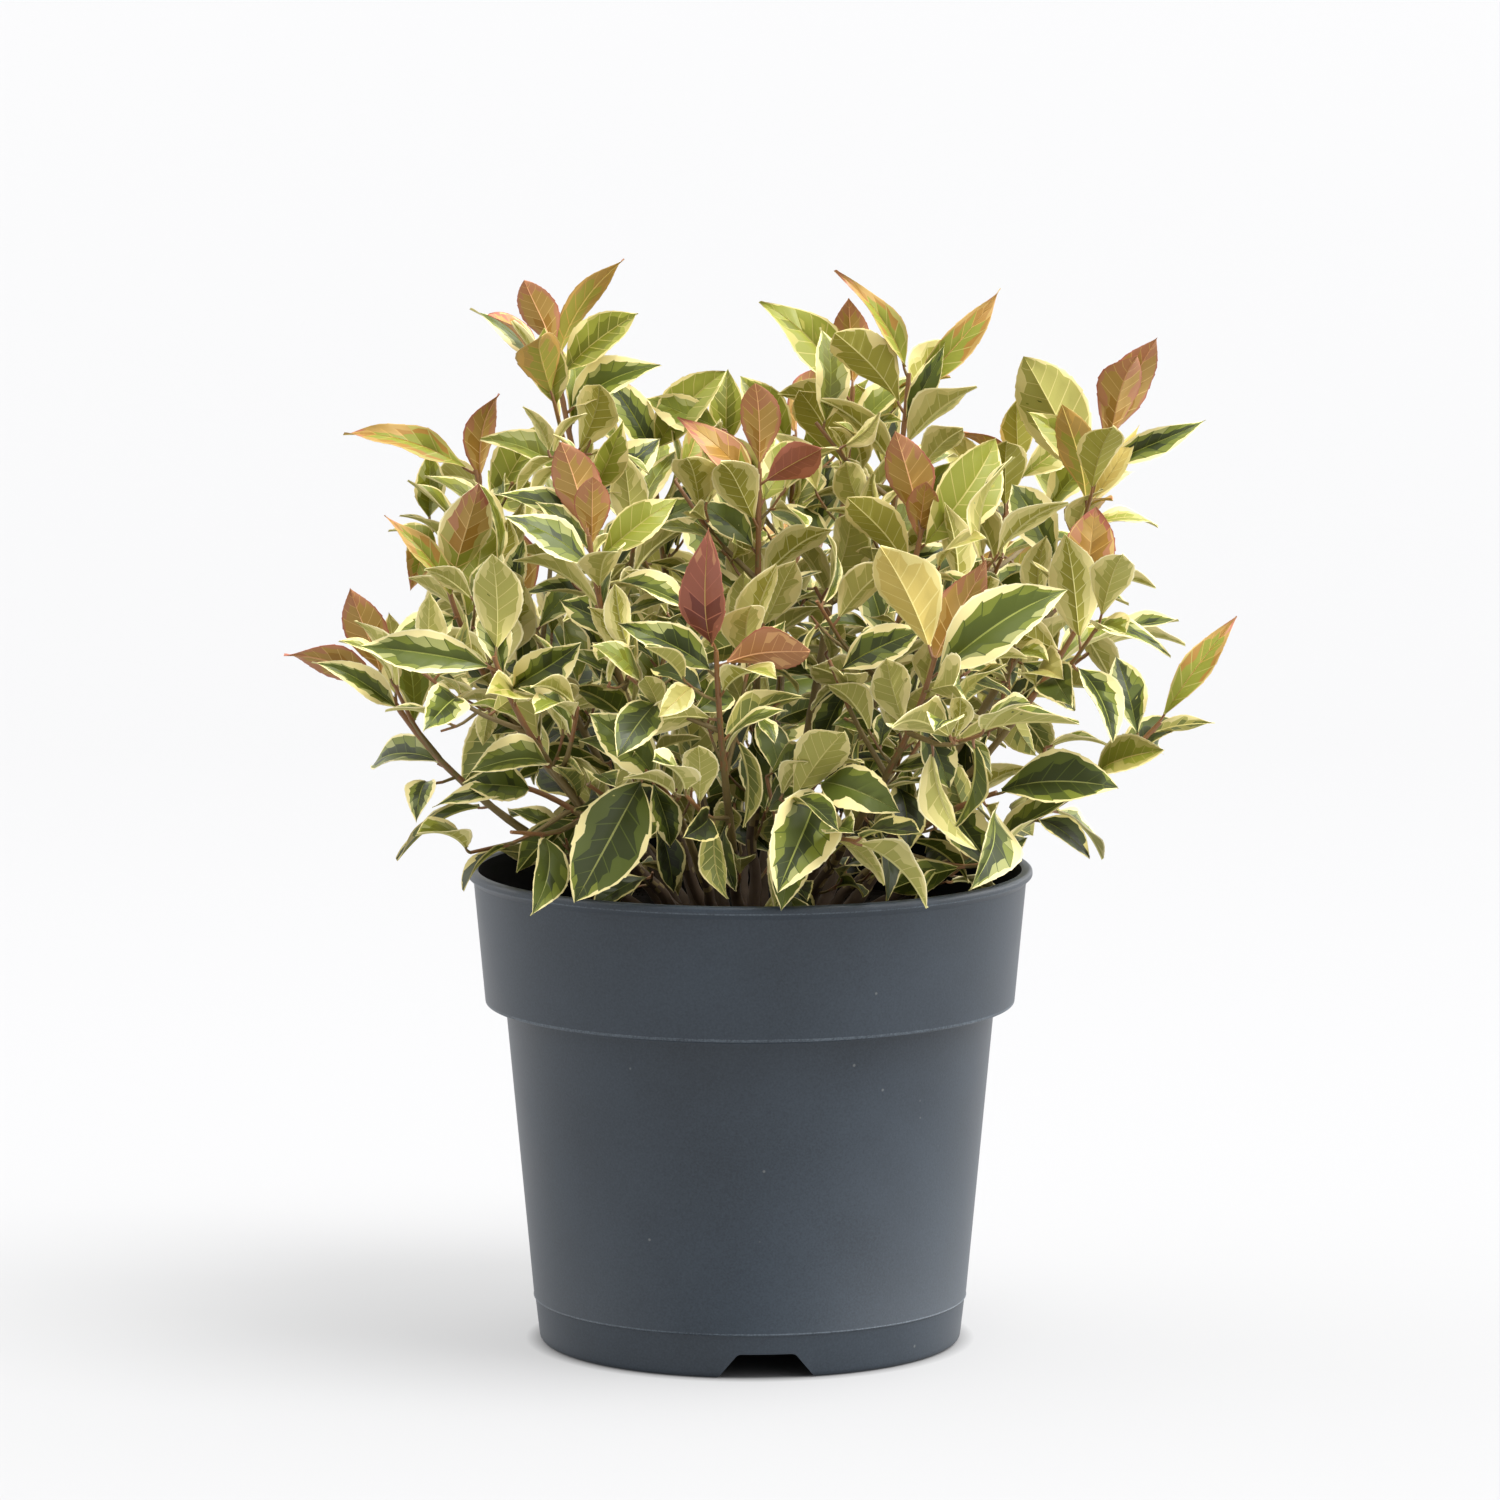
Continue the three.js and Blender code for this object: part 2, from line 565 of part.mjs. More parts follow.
// A trapezoidal bar that points out from the axis, for one notch in the foot ring
function notchSolid(turn) {
  const outline = new THREE.Shape();
  outline.moveTo(-notchFootWidth / 2 - 1, -1);
  outline.lineTo(notchFootWidth / 2 + 1, -1);
  outline.lineTo(notchTopWidth / 2, notchHeight);
  outline.lineTo(-notchTopWidth / 2, notchHeight);
  outline.closePath();
  const bar = new THREE.ExtrudeGeometry(outline, { depth: 20, bevelEnabled: false, steps: 1 });
  bar.rotateX(Math.PI / 2);
  bar.translate(0, -footRingInner + 8, 0);
  bar.rotateZ(radians(turn + 90));
  return solidOf(bar);
}

function drainSolid(turn) {
  const drain = new THREE.CylinderGeometry(drainRadius, drainRadius, 12, 8);
  drain.rotateX(Math.PI / 2);
  drain.translate(drainCircle, 0, floorUnder + floorThickness / 2);
  drain.rotateZ(radians(turn));
  return solidOf(drain);
}

function potSolid() {
  const cuts = [];
  for (let i = 0; i < notchCount; i += 1) {
    cuts.push(notchSolid(notchTurn + (360 * i) / notchCount));
  }
  for (let i = 0; i < drainCount; i += 1) {
    cuts.push(drainSolid(notchTurn + (360 * (i + 0.5)) / drainCount));
  }
  return turned(potProfile()).subtract(wasm.Manifold.union(cuts));
}

// Soil: the pot's inside up to the substrate's surface, clear of the wall
function soilSolid() {
  const bandTopRadius = rimRadius - beadProud;
  const wallAt = (height) => mix(bandFootRadius, bandTopRadius, (height - bandFoot) / 41);
  const inset = wallThickness + soilClearance + 0.1;
  return turned([
    [0, floorUnder + floorThickness + limbGap],
    [footRadius - inset - 0.6, floorUnder + floorThickness + limbGap],
    [seamRadius - inset, seamHeight],
    [shoulderRadius - inset, shoulder + 0.3],
    [bandFootRadius - inset, bandFoot + 0.3],
    [wallAt(soilEdge) - inset, soilEdge],
    [soilFlatRadius, soilTop],
    [0, soilTop],
  ]);
}

// Colours of the sub-parts
const potLook = { color: "#434b52", roughness: 0.48, metalness: 0 };
const soilLook = { color: "#2b211b", roughness: 0.95, metalness: 0 };
const stemLook = { color: "#6b4a34", roughness: 0.8, metalness: 0 };
const leafLook = { color: "#7b8a4c", roughness: 0.5, metalness: 0 };

const plant = new THREE.Group();
plant.position.set(potAxis[0], potAxis[1], 0);

function addPiece(name, solid, look) {
  const piece = new THREE.Mesh(geometryOf(solid), new THREE.MeshStandardMaterial(look));
  piece.name = name;
  plant.add(piece);
}

addPiece("pot", potSolid(), potLook);
addPiece("soil", soilSolid(), soilLook);
shoots.forEach(({ name, bare }, own) => {
  const points = curvePoints(curves[own], 0, bare, limbSteps);
  const girths = points.map((_, i) => mix(footGirth, forkGirth, i / limbSteps));
  addPiece("bough_" + name, limb(points, girths, limbSides, true), stemLook);
  addPiece("foliage_" + name, growMass(own), leafLook);
});

export default plant;
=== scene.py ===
import json
import math

import bpy
import mathutils
import numpy as np
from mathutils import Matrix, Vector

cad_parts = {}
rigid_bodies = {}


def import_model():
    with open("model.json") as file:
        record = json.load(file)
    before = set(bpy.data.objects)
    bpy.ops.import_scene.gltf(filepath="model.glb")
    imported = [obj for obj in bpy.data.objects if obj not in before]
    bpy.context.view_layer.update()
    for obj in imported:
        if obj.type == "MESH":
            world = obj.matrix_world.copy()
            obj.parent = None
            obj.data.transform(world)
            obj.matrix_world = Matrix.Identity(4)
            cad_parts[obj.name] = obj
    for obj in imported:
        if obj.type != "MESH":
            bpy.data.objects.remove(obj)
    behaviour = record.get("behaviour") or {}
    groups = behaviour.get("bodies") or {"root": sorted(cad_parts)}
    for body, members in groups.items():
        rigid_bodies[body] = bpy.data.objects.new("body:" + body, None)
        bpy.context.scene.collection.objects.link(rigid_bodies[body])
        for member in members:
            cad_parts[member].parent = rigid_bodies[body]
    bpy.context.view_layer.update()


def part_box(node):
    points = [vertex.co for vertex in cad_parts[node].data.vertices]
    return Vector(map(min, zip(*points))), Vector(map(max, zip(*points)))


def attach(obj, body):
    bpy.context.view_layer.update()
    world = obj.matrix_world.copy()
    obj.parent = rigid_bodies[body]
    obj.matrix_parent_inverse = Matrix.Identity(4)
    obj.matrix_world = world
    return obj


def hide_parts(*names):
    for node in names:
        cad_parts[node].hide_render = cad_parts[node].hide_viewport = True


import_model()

# Drooping leucothoe with cream-edged leaves, in a 3 litre nursery pot.
# Lengths here are in mm from the pot's axis at ground level, and addPiece turns them to metres in the frame.

potLow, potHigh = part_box("pot")
potAxis = (potLow + potHigh) / 2
mm = 0.001

# The limbs and leaves follow the same rule as the solids, with the same numbers
habit = {
    "soilTop": 143, "limbGap": 0.3, "steps": 4, "footGirth": 2.5, "forkGirth": 1.7, "tipGirth": 0.9,
    "footShare": 0.26, "curvePull": 0.36, "twigGirth": 1, "twigTipGirth": 0.65, "twigLength": (38, 52),
    "twigSpread": (34, 58), "twigRise": 0.35, "twigSag": 0.1, "twigStretch": (0.1, 0.76), "twigBare": 0.25,
    "stemBare": 0.04, "arch": 0.1, "fullness": 1.14, "neck": 0.15, "leafSpacing": 8.4, "crestSpacing": 4,
    "crestFacing": 25, "goldenTurn": 137.5, "spread": (74, 40), "droop": (0.62, 0.05), "length": (36, 42),
    "ratio": (0.42, 0.54), "upperShrink": 0.14, "turnVariation": 24, "spreadVariation": 16,
    "droopVariation": 0.2, "rollVariation": 90, "upperTurn": 0.4,
    "tries": 10, "turnPerTry": 0.4, "shrinkPerTry": 0.05, "spaceMargin": 1.3, "limbClearance": 0.7,
    "potClearance": 2, "bandFootRadius": 88.6, "rimRadius": 95, "rimHeight": 160.8,
    "crownMiddle": (6.5, 2),
    "crownReach": ((152, 84), (162, 130), (200, 144), (236, 163), (256, 147), (302, 149), (338, 132),
                   (352, 94), (368, 56)),
}

# Azimuth, reach and height of each tip, slopes at foot and tip, bare share, twigs, seed, kinds of the
# crest leaves by their letters in leafKinds, and those leaves as azimuth, elevation, length, width over
# length and the azimuth that the upper side faces
shoots = [
    ("top_left", (163, 69, 333), (74, 80), 0.36, 3, 56, "ckogdg",
     ((190, 68, 26, 0.6, 80), (4, 61, 34, 0.3, 120), (0, 55, 39, 0.54, -100), (181, 52, 46, 0.28, -70),
      (-139, 83, 28, 0.53, 90), (-28, 31, 37, 0.43, -120))),
    ("top_right", (0, 53, 327), (74, 86), 0.34, 3, 194, "kykod",
     ((198, 57, 42, 0.28, -60), (44, 37, 25, 0.44, 100), (10, 49, 42, 0.28, -70),
      (-144, 45, 39, 0.57, 70), (-26, 61, 30, 0.31, -80))),
    ("top_middle", (41, 46, 320), (78, 86), 0.34, 2, 113, "coyo",
     ((128, 86, 30, 0.48, 80), (192, 51, 44, 0.39, -80), (60, 60, 30, 0.4, 180), (102, 26, 37, 0.54, 0))),
    ("right_upper", (5, 121, 303), (58, 76), 0.32, 3, 1, "ccgodt",
     ((-36, 72, 32, 0.53, 90), (4, 68, 42, 0.4, 110), (5, 37, 41, 0.3, -60), (202, 46, 32, 0.46, -80),
      (-184, 63, 49, 0.54, 100), (-10, 38, 33, 0.29, -70))),
    ("right_far", (-8, 138, 212), (36, 48), 0.34, 2, 217, "kdgg",
     ((-25, 62, 48, 0.28, -90), (4, 5, 24, 0.32, 120), (-173, 86, 32, 0.46, -90),
      (150, 62, 34, 0.36, -60))),
    ("right_middle", (-16, 116, 251), (50, 62), 0.32, 3, 9, "cgy",
     ((43, 52, 40, 0.6, -90), (-27, -19, 38, 0.29, -60), (118, 36, 32, 0.39, 0))),
    ("right_low", (-30, 94, 192), (42, 18), 0.28, 2, 134, "dg",
     ((-24, 7, 42, 0.54, -60), (-91, -30, 43, 0.51, 0))),
    ("front_right", (-53, 100, 241), (54, 68), 0.3, 3, 169, "tcgg",
     ((-143, 61, 43, 0.61, 80), (7, 63, 39, 0.39, 90), (-9, 36, 52, 0.45, -90), (-72, 10, 42, 0.56, 0))),
    ("centre_right", (-36, 70, 279), (68, 76), 0.34, 3, 174, "cco",
     ((-140, 72, 48, 0.53, 80), (-23, 55, 31, 0.5, 90), (24, 51, 46, 0.53, -60))),
    ("front_low_right", (-74, 80, 200), (46, 24), 0.26, 3, 101, "dgd",
     ((-24, 11, 39, 0.53, -90), (-106, -35, 46, 0.61, -60), (160, 20, 38, 0.46, -70))),
    ("front_middle", (-97, 90, 244), (56, 74), 0.28, 3, 134, "rsg",
     ((-101, 69, 43, 0.39, -120), (-24, 11, 40, 0.62, 90), (187, 30, 35, 0.39, -60))),
    ("centre", (-82, 22, 297), (82, 86), 0.3, 3, 163, "crco",
     ((-102, 82, 35, 0.56, 80), (-36, 28, 40, 0.49, 60), (176, 46, 36, 0.35, -70),
      (58, 38, 34, 0.42, -90))),
    ("front_low_left", (-117, 76, 202), (46, 22), 0.26, 3, 67, "ddg",
     ((-128, -46, 51, 0.53, -80), (-50, -20, 36, 0.45, -90), (220, 43, 34, 0.62, -80))),
    ("front_left", (-140, 109, 240), (50, 68), 0.3, 3, 113, "gggg",
     ((-100, 86, 34, 0.62, 80), (183, 11, 45, 0.34, -80), (45, 58, 36, 0.52, -80),
      (-40, 30, 34, 0.44, -60))),
    ("copper_left", (-134, 76, 278), (66, 80), 0.34, 3, 104, "ccog",
     ((155, 73, 48, 0.62, 90), (-81, 83, 24, 0.62, 90), (16, 37, 38, 0.38, -80),
      (190, 35, 34, 0.42, -60))),
    ("left_upper", (-166, 103, 257), (56, 74), 0.32, 3, 151, "wkgo",
     ((-28, 73, 45, 0.48, 100), (175, 54, 36, 0.29, -60), (225, -15, 34, 0.36, -80),
      (70, 61, 40, 0.47, -60))),
    ("left_far", (-174, 124, 226), (36, 62), 0.34, 2, 201, "ccgg",
     ((187, 71, 32, 0.47, 90), (189, 23, 36, 0.36, 100), (-60, 86, 34, 0.48, 90),
      (173, 20, 39, 0.33, -90))),
    ("left_low", (-150, 88, 194), (44, 18), 0.26, 3, 129, "gdg",
     ((-147, -6, 33, 0.28, -80), (-121, -46, 37, 0.55, -60), (112, -7, 36, 0.44, 0))),
    ("back_left", (152, 106, 290), (60, 72), 0.32, 3, 168, "kco",
     ((186, 20, 45, 0.3, -60), (-20, 82, 31, 0.4, 120), (117, 8, 36, 0.44, 0))),
    ("back_middle_left", (120, 68, 300), (70, 80), 0.34, 3, 143, "cog",
     ((153, 58, 27, 0.42, 0), (-17, 49, 37, 0.52, -90), (195, 86, 40, 0.48, -60))),
    ("back_right", (33, 110, 290), (60, 72), 0.32, 3, 149, "oyc",
     ((-122, 86, 24, 0.54, 90), (28, 44, 32, 0.39, -60), (130, 54, 32, 0.48, 20))),
    ("back_middle_right", (78, 74, 300), (68, 80), 0.34, 3, 134, "coo",
     ((48, 61, 28, 0.49, 160), (179, 55, 30, 0.53, -90), (-13, 48, 39, 0.32, -60))),
    ("back_far_left", (131, 124, 230), (42, 54), 0.32, 3, 215, "cgg",
     ((126, 72, 46, 0.44, 40), (190, 60, 30, 0.52, 0), (51, 47, 40, 0.28, 160))),
    ("back_far", (93, 126, 238), (44, 56), 0.32, 3, 140, "sgg",
     ((90, 40, 40, 0.45, 180), (5, 66, 30, 0.48, 180), (162, 29, 46, 0.5, 60))),
    ("back_far_right", (54, 124, 228), (42, 54), 0.32, 3, 24, "kgg",
     ((25, 39, 51, 0.49, 140), (-33, 62, 32, 0.49, 60), (110, 38, 38, 0.44, 20))),
]


def mix(low, high, share):
    return low + (high - low) * share


def heading(azimuth, elevation):
    a, e = math.radians(azimuth), math.radians(elevation)
    return np.array([math.cos(a) * math.cos(e), math.sin(a) * math.cos(e), math.sin(e)])


def unit(vector):
    return vector / np.linalg.norm(vector)


def turnAbout(vector, axis, degrees):
    a = math.radians(degrees)
    cross = np.cross(axis, vector)
    return vector * math.cos(a) + cross * math.sin(a) + axis * (axis @ vector) * (1 - math.cos(a))


def seeded(*keys):  # even draws from 0 to 1, the same as the solids' for the same keys
    state = 17
    for key in keys:
        state = (state * 1597334677 + key * 40503 + 12345) & 0xFFFFFFFF

    def draw():
        nonlocal state
        state = (state + 0x6D2B79F5) & 0xFFFFFFFF
        t = ((state ^ (state >> 15)) * (state | 1)) & 0xFFFFFFFF
        t ^= (t + (t ^ (t >> 7)) * (t | 61)) & 0xFFFFFFFF
        return (t ^ (t >> 14)) / 4294967296
    return draw


# Curves of the shoots, from the foot on the soil to the tip

def shootCurve(tip, slopes):
    azimuth, reach, height = tip
    foot = habit["footShare"] * reach * heading(azimuth, 0)
    foot[2] = habit["soilTop"] + habit["limbGap"]
    end = reach * heading(azimuth, 0)
    end[2] = height
    pull = habit["curvePull"] * np.linalg.norm(end - foot)
    corners = np.array([foot, foot + pull * heading(azimuth, slopes[0]),
                        end - pull * heading(azimuth, slopes[1]), end])

    def bezier(t):
        t = np.atleast_1d(t)[:, None]
        weights = np.hstack([(1 - t) ** 3, 3 * t * (1 - t) ** 2, 3 * t * t * (1 - t), t ** 3])
        return weights @ corners
    steps = np.linspace(0, 1, 201)
    pieces = np.linalg.norm(np.diff(bezier(steps), axis=0), axis=1)
    travelled = np.concatenate([[0], np.cumsum(pieces)])
    length = travelled[-1]
    return lambda share: bezier(np.interp(np.asarray(share) * length, travelled, steps)), length


curves = [shootCurve(tip, slopes) for name, tip, slopes, *rest in shoots]


def pointsAlong(own, low, high):
    return curves[own][0](np.linspace(low, high, habit["steps"] + 1))


boughRoutes = np.array([pointsAlong(i, 0, row[3]) for i, row in enumerate(shoots)])
stemRoutes = np.array([pointsAlong(i, row[3], 1) for i, row in enumerate(shoots)])


def segments(routes):
    return routes[..., :-1, :].reshape(-1, 3), routes[..., 1:, :].reshape(-1, 3)


boughStarts, boughEnds = segments(boughRoutes)
stemStarts, stemEnds = segments(stemRoutes)
stemOwners = np.repeat(np.arange(len(shoots)), habit["steps"])


# What a leaf or twig may not touch or leave

def insideSpace(points, own):
    levels, reaches = np.array(habit["crownReach"]).T
    reach = np.interp(points[:, 2], levels, reaches, right=0)
    if np.any(np.hypot(*(points[:, :2] - habit["crownMiddle"]).T) > reach):
        return False
    along = stemEnds - stemStarts
    offset = points[:, None] - stemStarts
    share = np.clip((offset * along).sum(2) / (along * along).sum(1), 0, 1)
    distance = np.linalg.norm(offset - share[..., None] * along, axis=2)
    mine = distance[:, stemOwners == own].min(1)
    return bool(np.all(distance[:, stemOwners != own].min(1) > mine + habit["spaceMargin"]))


def clearOfPot(points):
    radius = np.hypot(points[:, 0], points[:, 1])
    gap = habit["potClearance"]
    floor = np.where(radius > habit["bandFootRadius"] - 2 * gap, habit["rimHeight"], habit["soilTop"])
    return bool(np.all((points[:, 2] > floor + gap) | (radius > habit["rimRadius"] + gap)))


def lineGaps(start, end, starts, ends):
    u, v, w = end - start, ends - starts, start - starts
    a, b, c, d, e = u @ u, v @ u, (v * v).sum(1), w @ u, (w * v).sum(1)
    det = a * c - b * b
    s = np.where(det > 1e-9, np.clip((b * e - c * d) / np.maximum(det, 1e-9), 0, 1), 0)
    t = np.clip((b * s + e) / c, 0, 1)
    s = np.clip((b * t - d) / a, 0, 1)
    return np.linalg.norm(w + s[:, None] * u - t[:, None] * v, axis=1)


def fitsSpace(start, end, own, girth):
    points = start + np.array([[0.25], [0.5], [0.75], [1]]) * (end - start)
    if not insideSpace(points, own) or not clearOfPot(points):
        return False
    space = habit["footGirth"] + girth + habit["limbClearance"]
    if lineGaps(start, end, boughStarts, boughEnds).min() <= space:
        return False
    others = stemOwners != own
    return bool(lineGaps(start, end, stemStarts[others], stemEnds[others]).min() > space)


def crosses(starts, ends, faces):  # some line goes through some three-cornered face
    if not len(starts) or not len(faces):
        return False
    along = (ends - starts)[:, None]
    a = faces[:, 0]
    e1, e2 = faces[:, 1] - a, faces[:, 2] - a
    normal = np.cross(e1, e2)
    slope = (along * normal).sum(2)
    sign = np.sign(slope)
    offset = starts[:, None] - a
    first = sign * (along * np.cross(offset, e2)).sum(2)
    second = sign * (along * np.cross(e1, offset)).sum(2)
    far = -sign * (offset * normal).sum(2)
    slope = np.abs(slope)
    inside = (first >= 0) & (second >= 0) & (first + second <= slope)
    return bool(np.any((sign != 0) & inside & (far >= 0) & (far < slope)))


# One mass: its leaves are kept as the data that the mesh is made from later

def leafForm(root, along, upper, length, ratio):
    across = unit(np.cross(along, upper))
    face = np.cross(across, along)
    half = habit["fullness"] * length * ratio / 2
    neck = root + habit["neck"] * length * along + face
    middle = root + 0.5 * length * along + habit["arch"] * length * face
    tip = root + length * along
    left, right = middle - half * across, middle + half * across
    return {"root": root, "along": along, "across": across, "face": face, "length": length, "ratio": ratio,
            "starts": np.array([neck, left, neck, right]), "ends": np.array([left, tip, right, tip]),
            "faces": np.array([[neck, right, left], [right, tip, left]])}


def leafFaces(grown):
    return np.concatenate([leaf["faces"] for leaf in grown["leaves"]]) if grown["leaves"] else ()


def leafFits(leaf, own, grown):
    starts, ends, faces = leaf["starts"], leaf["ends"], leaf["faces"]
    if not all(fitsSpace(start, end, own, 0) for start, end in zip(starts, ends)):
        return False
    lineStarts, lineEnds = (np.array(side) for side in zip(*grown["lines"]))
    if crosses(lineStarts, lineEnds, faces) or crosses(boughStarts, boughEnds, faces):
        return False
    others = grown["leaves"]
    if not others:
        return True
    if crosses(starts, ends, leafFaces(grown)):
        return False
    return not crosses(np.concatenate([other["starts"] for other in others]),
                       np.concatenate([other["ends"] for other in others]), faces)


def upperSide(along, stemWay, roll):
    side = np.array([0, 0, 1.0]) - habit["upperTurn"] * stemWay
    side = unit(side - (side @ along) * along)
    return turnAbout(side, along, roll)


def growLeaf(root, along, upper, length, ratio, own, grown, draw, **facts):
    for attempt in range(habit["tries"]):
        turn = np.array([draw() - 0.5, draw() - 0.5, draw() - 0.5])
        way = unit(along + habit["turnPerTry"] * attempt * turn)
        leaf = leafForm(root, way, upper, length * (1 - habit["shrinkPerTry"] * attempt), ratio)
        if leafFits(leaf, own, grown):
            grown["leaves"].append({**leaf, **facts})
            return


def leafWay(stemWay, turn, spread, droop):
    level = unit(np.array([1.0, 0, 0]) - stemWay[0] * stemWay)
    sideways = turnAbout(level, stemWay, turn)
    way = math.cos(math.radians(spread)) * stemWay + math.sin(math.radians(spread)) * sideways
    way[2] -= droop
    return unit(way)


def placeOn(route, share):
    pieces = len(route) - 1
    piece = min(int(share * pieces), pieces - 1)
    start, end = route[piece], route[piece + 1]
    return start + (share * pieces - piece) * (end - start), unit(end - start)


def growLeaves(route, length, low, high, own, twig, grown, scale=1, spacing=habit["leafSpacing"]):
    seed = shoots[own][5]
    count = int((high - low) * length / spacing)
    for i in range(count):
        draw = seeded(seed, twig, i)
        share = (i + 0.35 + 0.3 * draw()) / count
        at = mix(low, high, share)
        root, stemWay = placeOn(route, at)
        turn = (seed + twig + i) * habit["goldenTurn"] + habit["turnVariation"] * (draw() - 0.5)
        spread = mix(*habit["spread"], share) + habit["spreadVariation"] * (draw() - 0.5)
        droop = mix(*habit["droop"], share) + habit["droopVariation"] * (draw() - 0.5)
        size = scale * mix(*habit["length"], draw()) * (1 - habit["upperShrink"] * share * share)
        ratio = mix(*habit["ratio"], draw())
        way = leafWay(stemWay, turn, spread, droop)
        upper = upperSide(way, stemWay, habit["rollVariation"] * (draw() - 0.5))
        growLeaf(root, way, upper, size, ratio, own, grown, draw, share=at if twig == 0 else 0.3 + 0.3 * at)


def growTwig(stem, at, own, twig, grown):
    seed = shoots[own][5]
    draw = seeded(seed, twig)
    root, stemWay = placeOn(stem, at)
    for attempt in range(habit["tries"]):
        turn = (seed + twig + draw()) * habit["goldenTurn"]
        way = leafWay(stemWay, turn, mix(*habit["twigSpread"], draw()), habit["twigSag"])
        size = mix(*habit["twigLength"], draw()) * (1 - habit["shrinkPerTry"] * attempt)
        bend = unit(way + np.array([0, 0, habit["twigRise"]]))
        middle = root + size / 2 * way
        tip = middle + size / 2 * bend
        route = np.array([root, middle, tip])
        free = all(fitsSpace(a, b, own, habit["twigGirth"]) for a, b in zip(route[:-1], route[1:]))
        if free and not crosses(*segments(route), leafFaces(grown)):
            grown["lines"] += list(zip(route[:-1], route[1:]))
            grown["twigs"].append((route, habit["twigGirth"], habit["twigTipGirth"]))
            upper = upperSide(bend, stemWay, habit["rollVariation"] * (draw() - 0.5))
            growLeaf(tip, bend, upper, habit["length"][0], habit["ratio"][0], own, grown, draw, share=0.7)
            growLeaves(route, size, habit["twigBare"], 1, own, twig, grown)
            return


# Sprigs are the finer twigs that the solids leave out, each with a few small leaves
sprigs = {
    "spacing": 24, "length": (11, 18), "spread": (38, 62), "girth": 0.6, "tipGirth": 0.4, "leafScale": 0.62,
    "lowest": 190, "outmost": 100, "leafSpacing": 5.5, "bare": 0.2, "share": 0.55,
    "onBough": (0.25, 0.42, 0.58, 0.76, 0.93), "lowestOnBough": 154, "leafScaleOnBough": 0.85,
}


def growSprig(route, at, own, key, grown, onBough=False):
    seed = shoots[own][5]
    draw = seeded(seed, key)
    root, stemWay = placeOn(route, at)
    lowest = sprigs["lowestOnBough" if onBough else "lowest"]
    scale = sprigs["leafScaleOnBough" if onBough else "leafScale"]
    if root[2] < lowest or abs(root[0]) > sprigs["outmost"]:
        return
    for attempt in range(habit["tries"]):
        turn = (seed + key + draw()) * habit["goldenTurn"]
        way = leafWay(stemWay, turn, mix(*sprigs["spread"], draw()), 0)
        size = mix(*sprigs["length"], draw())
        bend = unit(way + np.array([0, 0, habit["twigRise"]]))
        line = np.array([root, root + size / 2 * way, root + size / 2 * (way + bend)])
        tested = line[1] if onBough else root  # the foot of a sprig on a bough is always close to the bough
        if fitsSpace(tested, line[2], own, 0) and not crosses(*segments(line), leafFaces(grown)):
            before = len(grown["leaves"])
            upper = upperSide(bend, stemWay, habit["rollVariation"] * (draw() - 0.5))
            growLeaf(line[2], bend, upper, scale * habit["length"][1], habit["ratio"][1], own, grown, draw,
                     share=sprigs["share"])
            growLeaves(line, size, sprigs["bare"], 1, own, key, grown, scale, sprigs["leafSpacing"])
            if len(grown["leaves"]) > before:
                grown["lines"] += list(zip(line[:-1], line[1:]))
                grown["twigs"].append((line, sprigs["girth"], sprigs["tipGirth"]))
            return


# Gaps of the crown, as spheres given by their middle and radius: only crest leaves may lie in one
openings = (
    (-119, -22, 204, 12), (-82, -80, 192, 11), (-83, -6, 180, 6), (-96, -26, 225, 6), (-108, 54, 249, 6),
    (-80, 13, 309, 6), (120, -41, 245, 14), (117, 33, 244, 6), (129, 41, 278, 6), (118, -16, 195, 6),
    (103, -51, 171, 6), (133, 1, 185, 5), (136, -19, 185, 5), (-110, -16, 186, 13), (-91, -64, 225, 6),
    (-96, -35, 220, 4), (-75, 16, 325, 14), (131, 22, 258, 4), (-88, -41, 182, 4), (-72, -42, 183, 4),
    (-96, -60, 179, 4), (-102, -14, 202, 4), (-127, 20, 200, 4), (-112, -63, 212, 4), (64, 6, 315, 4),
    (96, -49, 186, 4), (-108, 4, 172, 4), (-112, 18, 202, 4),
)


def inOpening(leaf):
    middle = leaf["root"] + 0.5 * leaf["length"] * leaf["along"]
    return "kind" not in leaf and any(np.linalg.norm(middle - place) < radius for *place, radius in openings)


# In the photograph some young leaves within the crown are smaller than their simple solids, and two of
# the slender leaves at its top are longer
crestScale = {"copper_left": (0.66,), "centre": (0.84, 0.72), "centre_right": (0.72, 0.84),
              "front_middle": (1, 0.8), "left_upper": (0.85,), "top_left": (1, 1.2),
              "top_right": (1, 1, 1.12)}


def lastBorne(route, leaves, twigs):  # the twig as far as its last leaf or side twig
    feet = [leaf["root"] for leaf in leaves] + [other[0] for other, *girths in twigs if other is not route]
    for last in range(len(route) - 1, 0, -1):
        way = route[last] - route[last - 1]
        for foot in feet:
            share = min(max((foot - route[last - 1]) @ way / (way @ way), 0), 1)
            if share > 0.05 and np.linalg.norm(foot - route[last - 1] - share * way) < 0.3:  # it stands here
                return route[:last + 1]
    return None


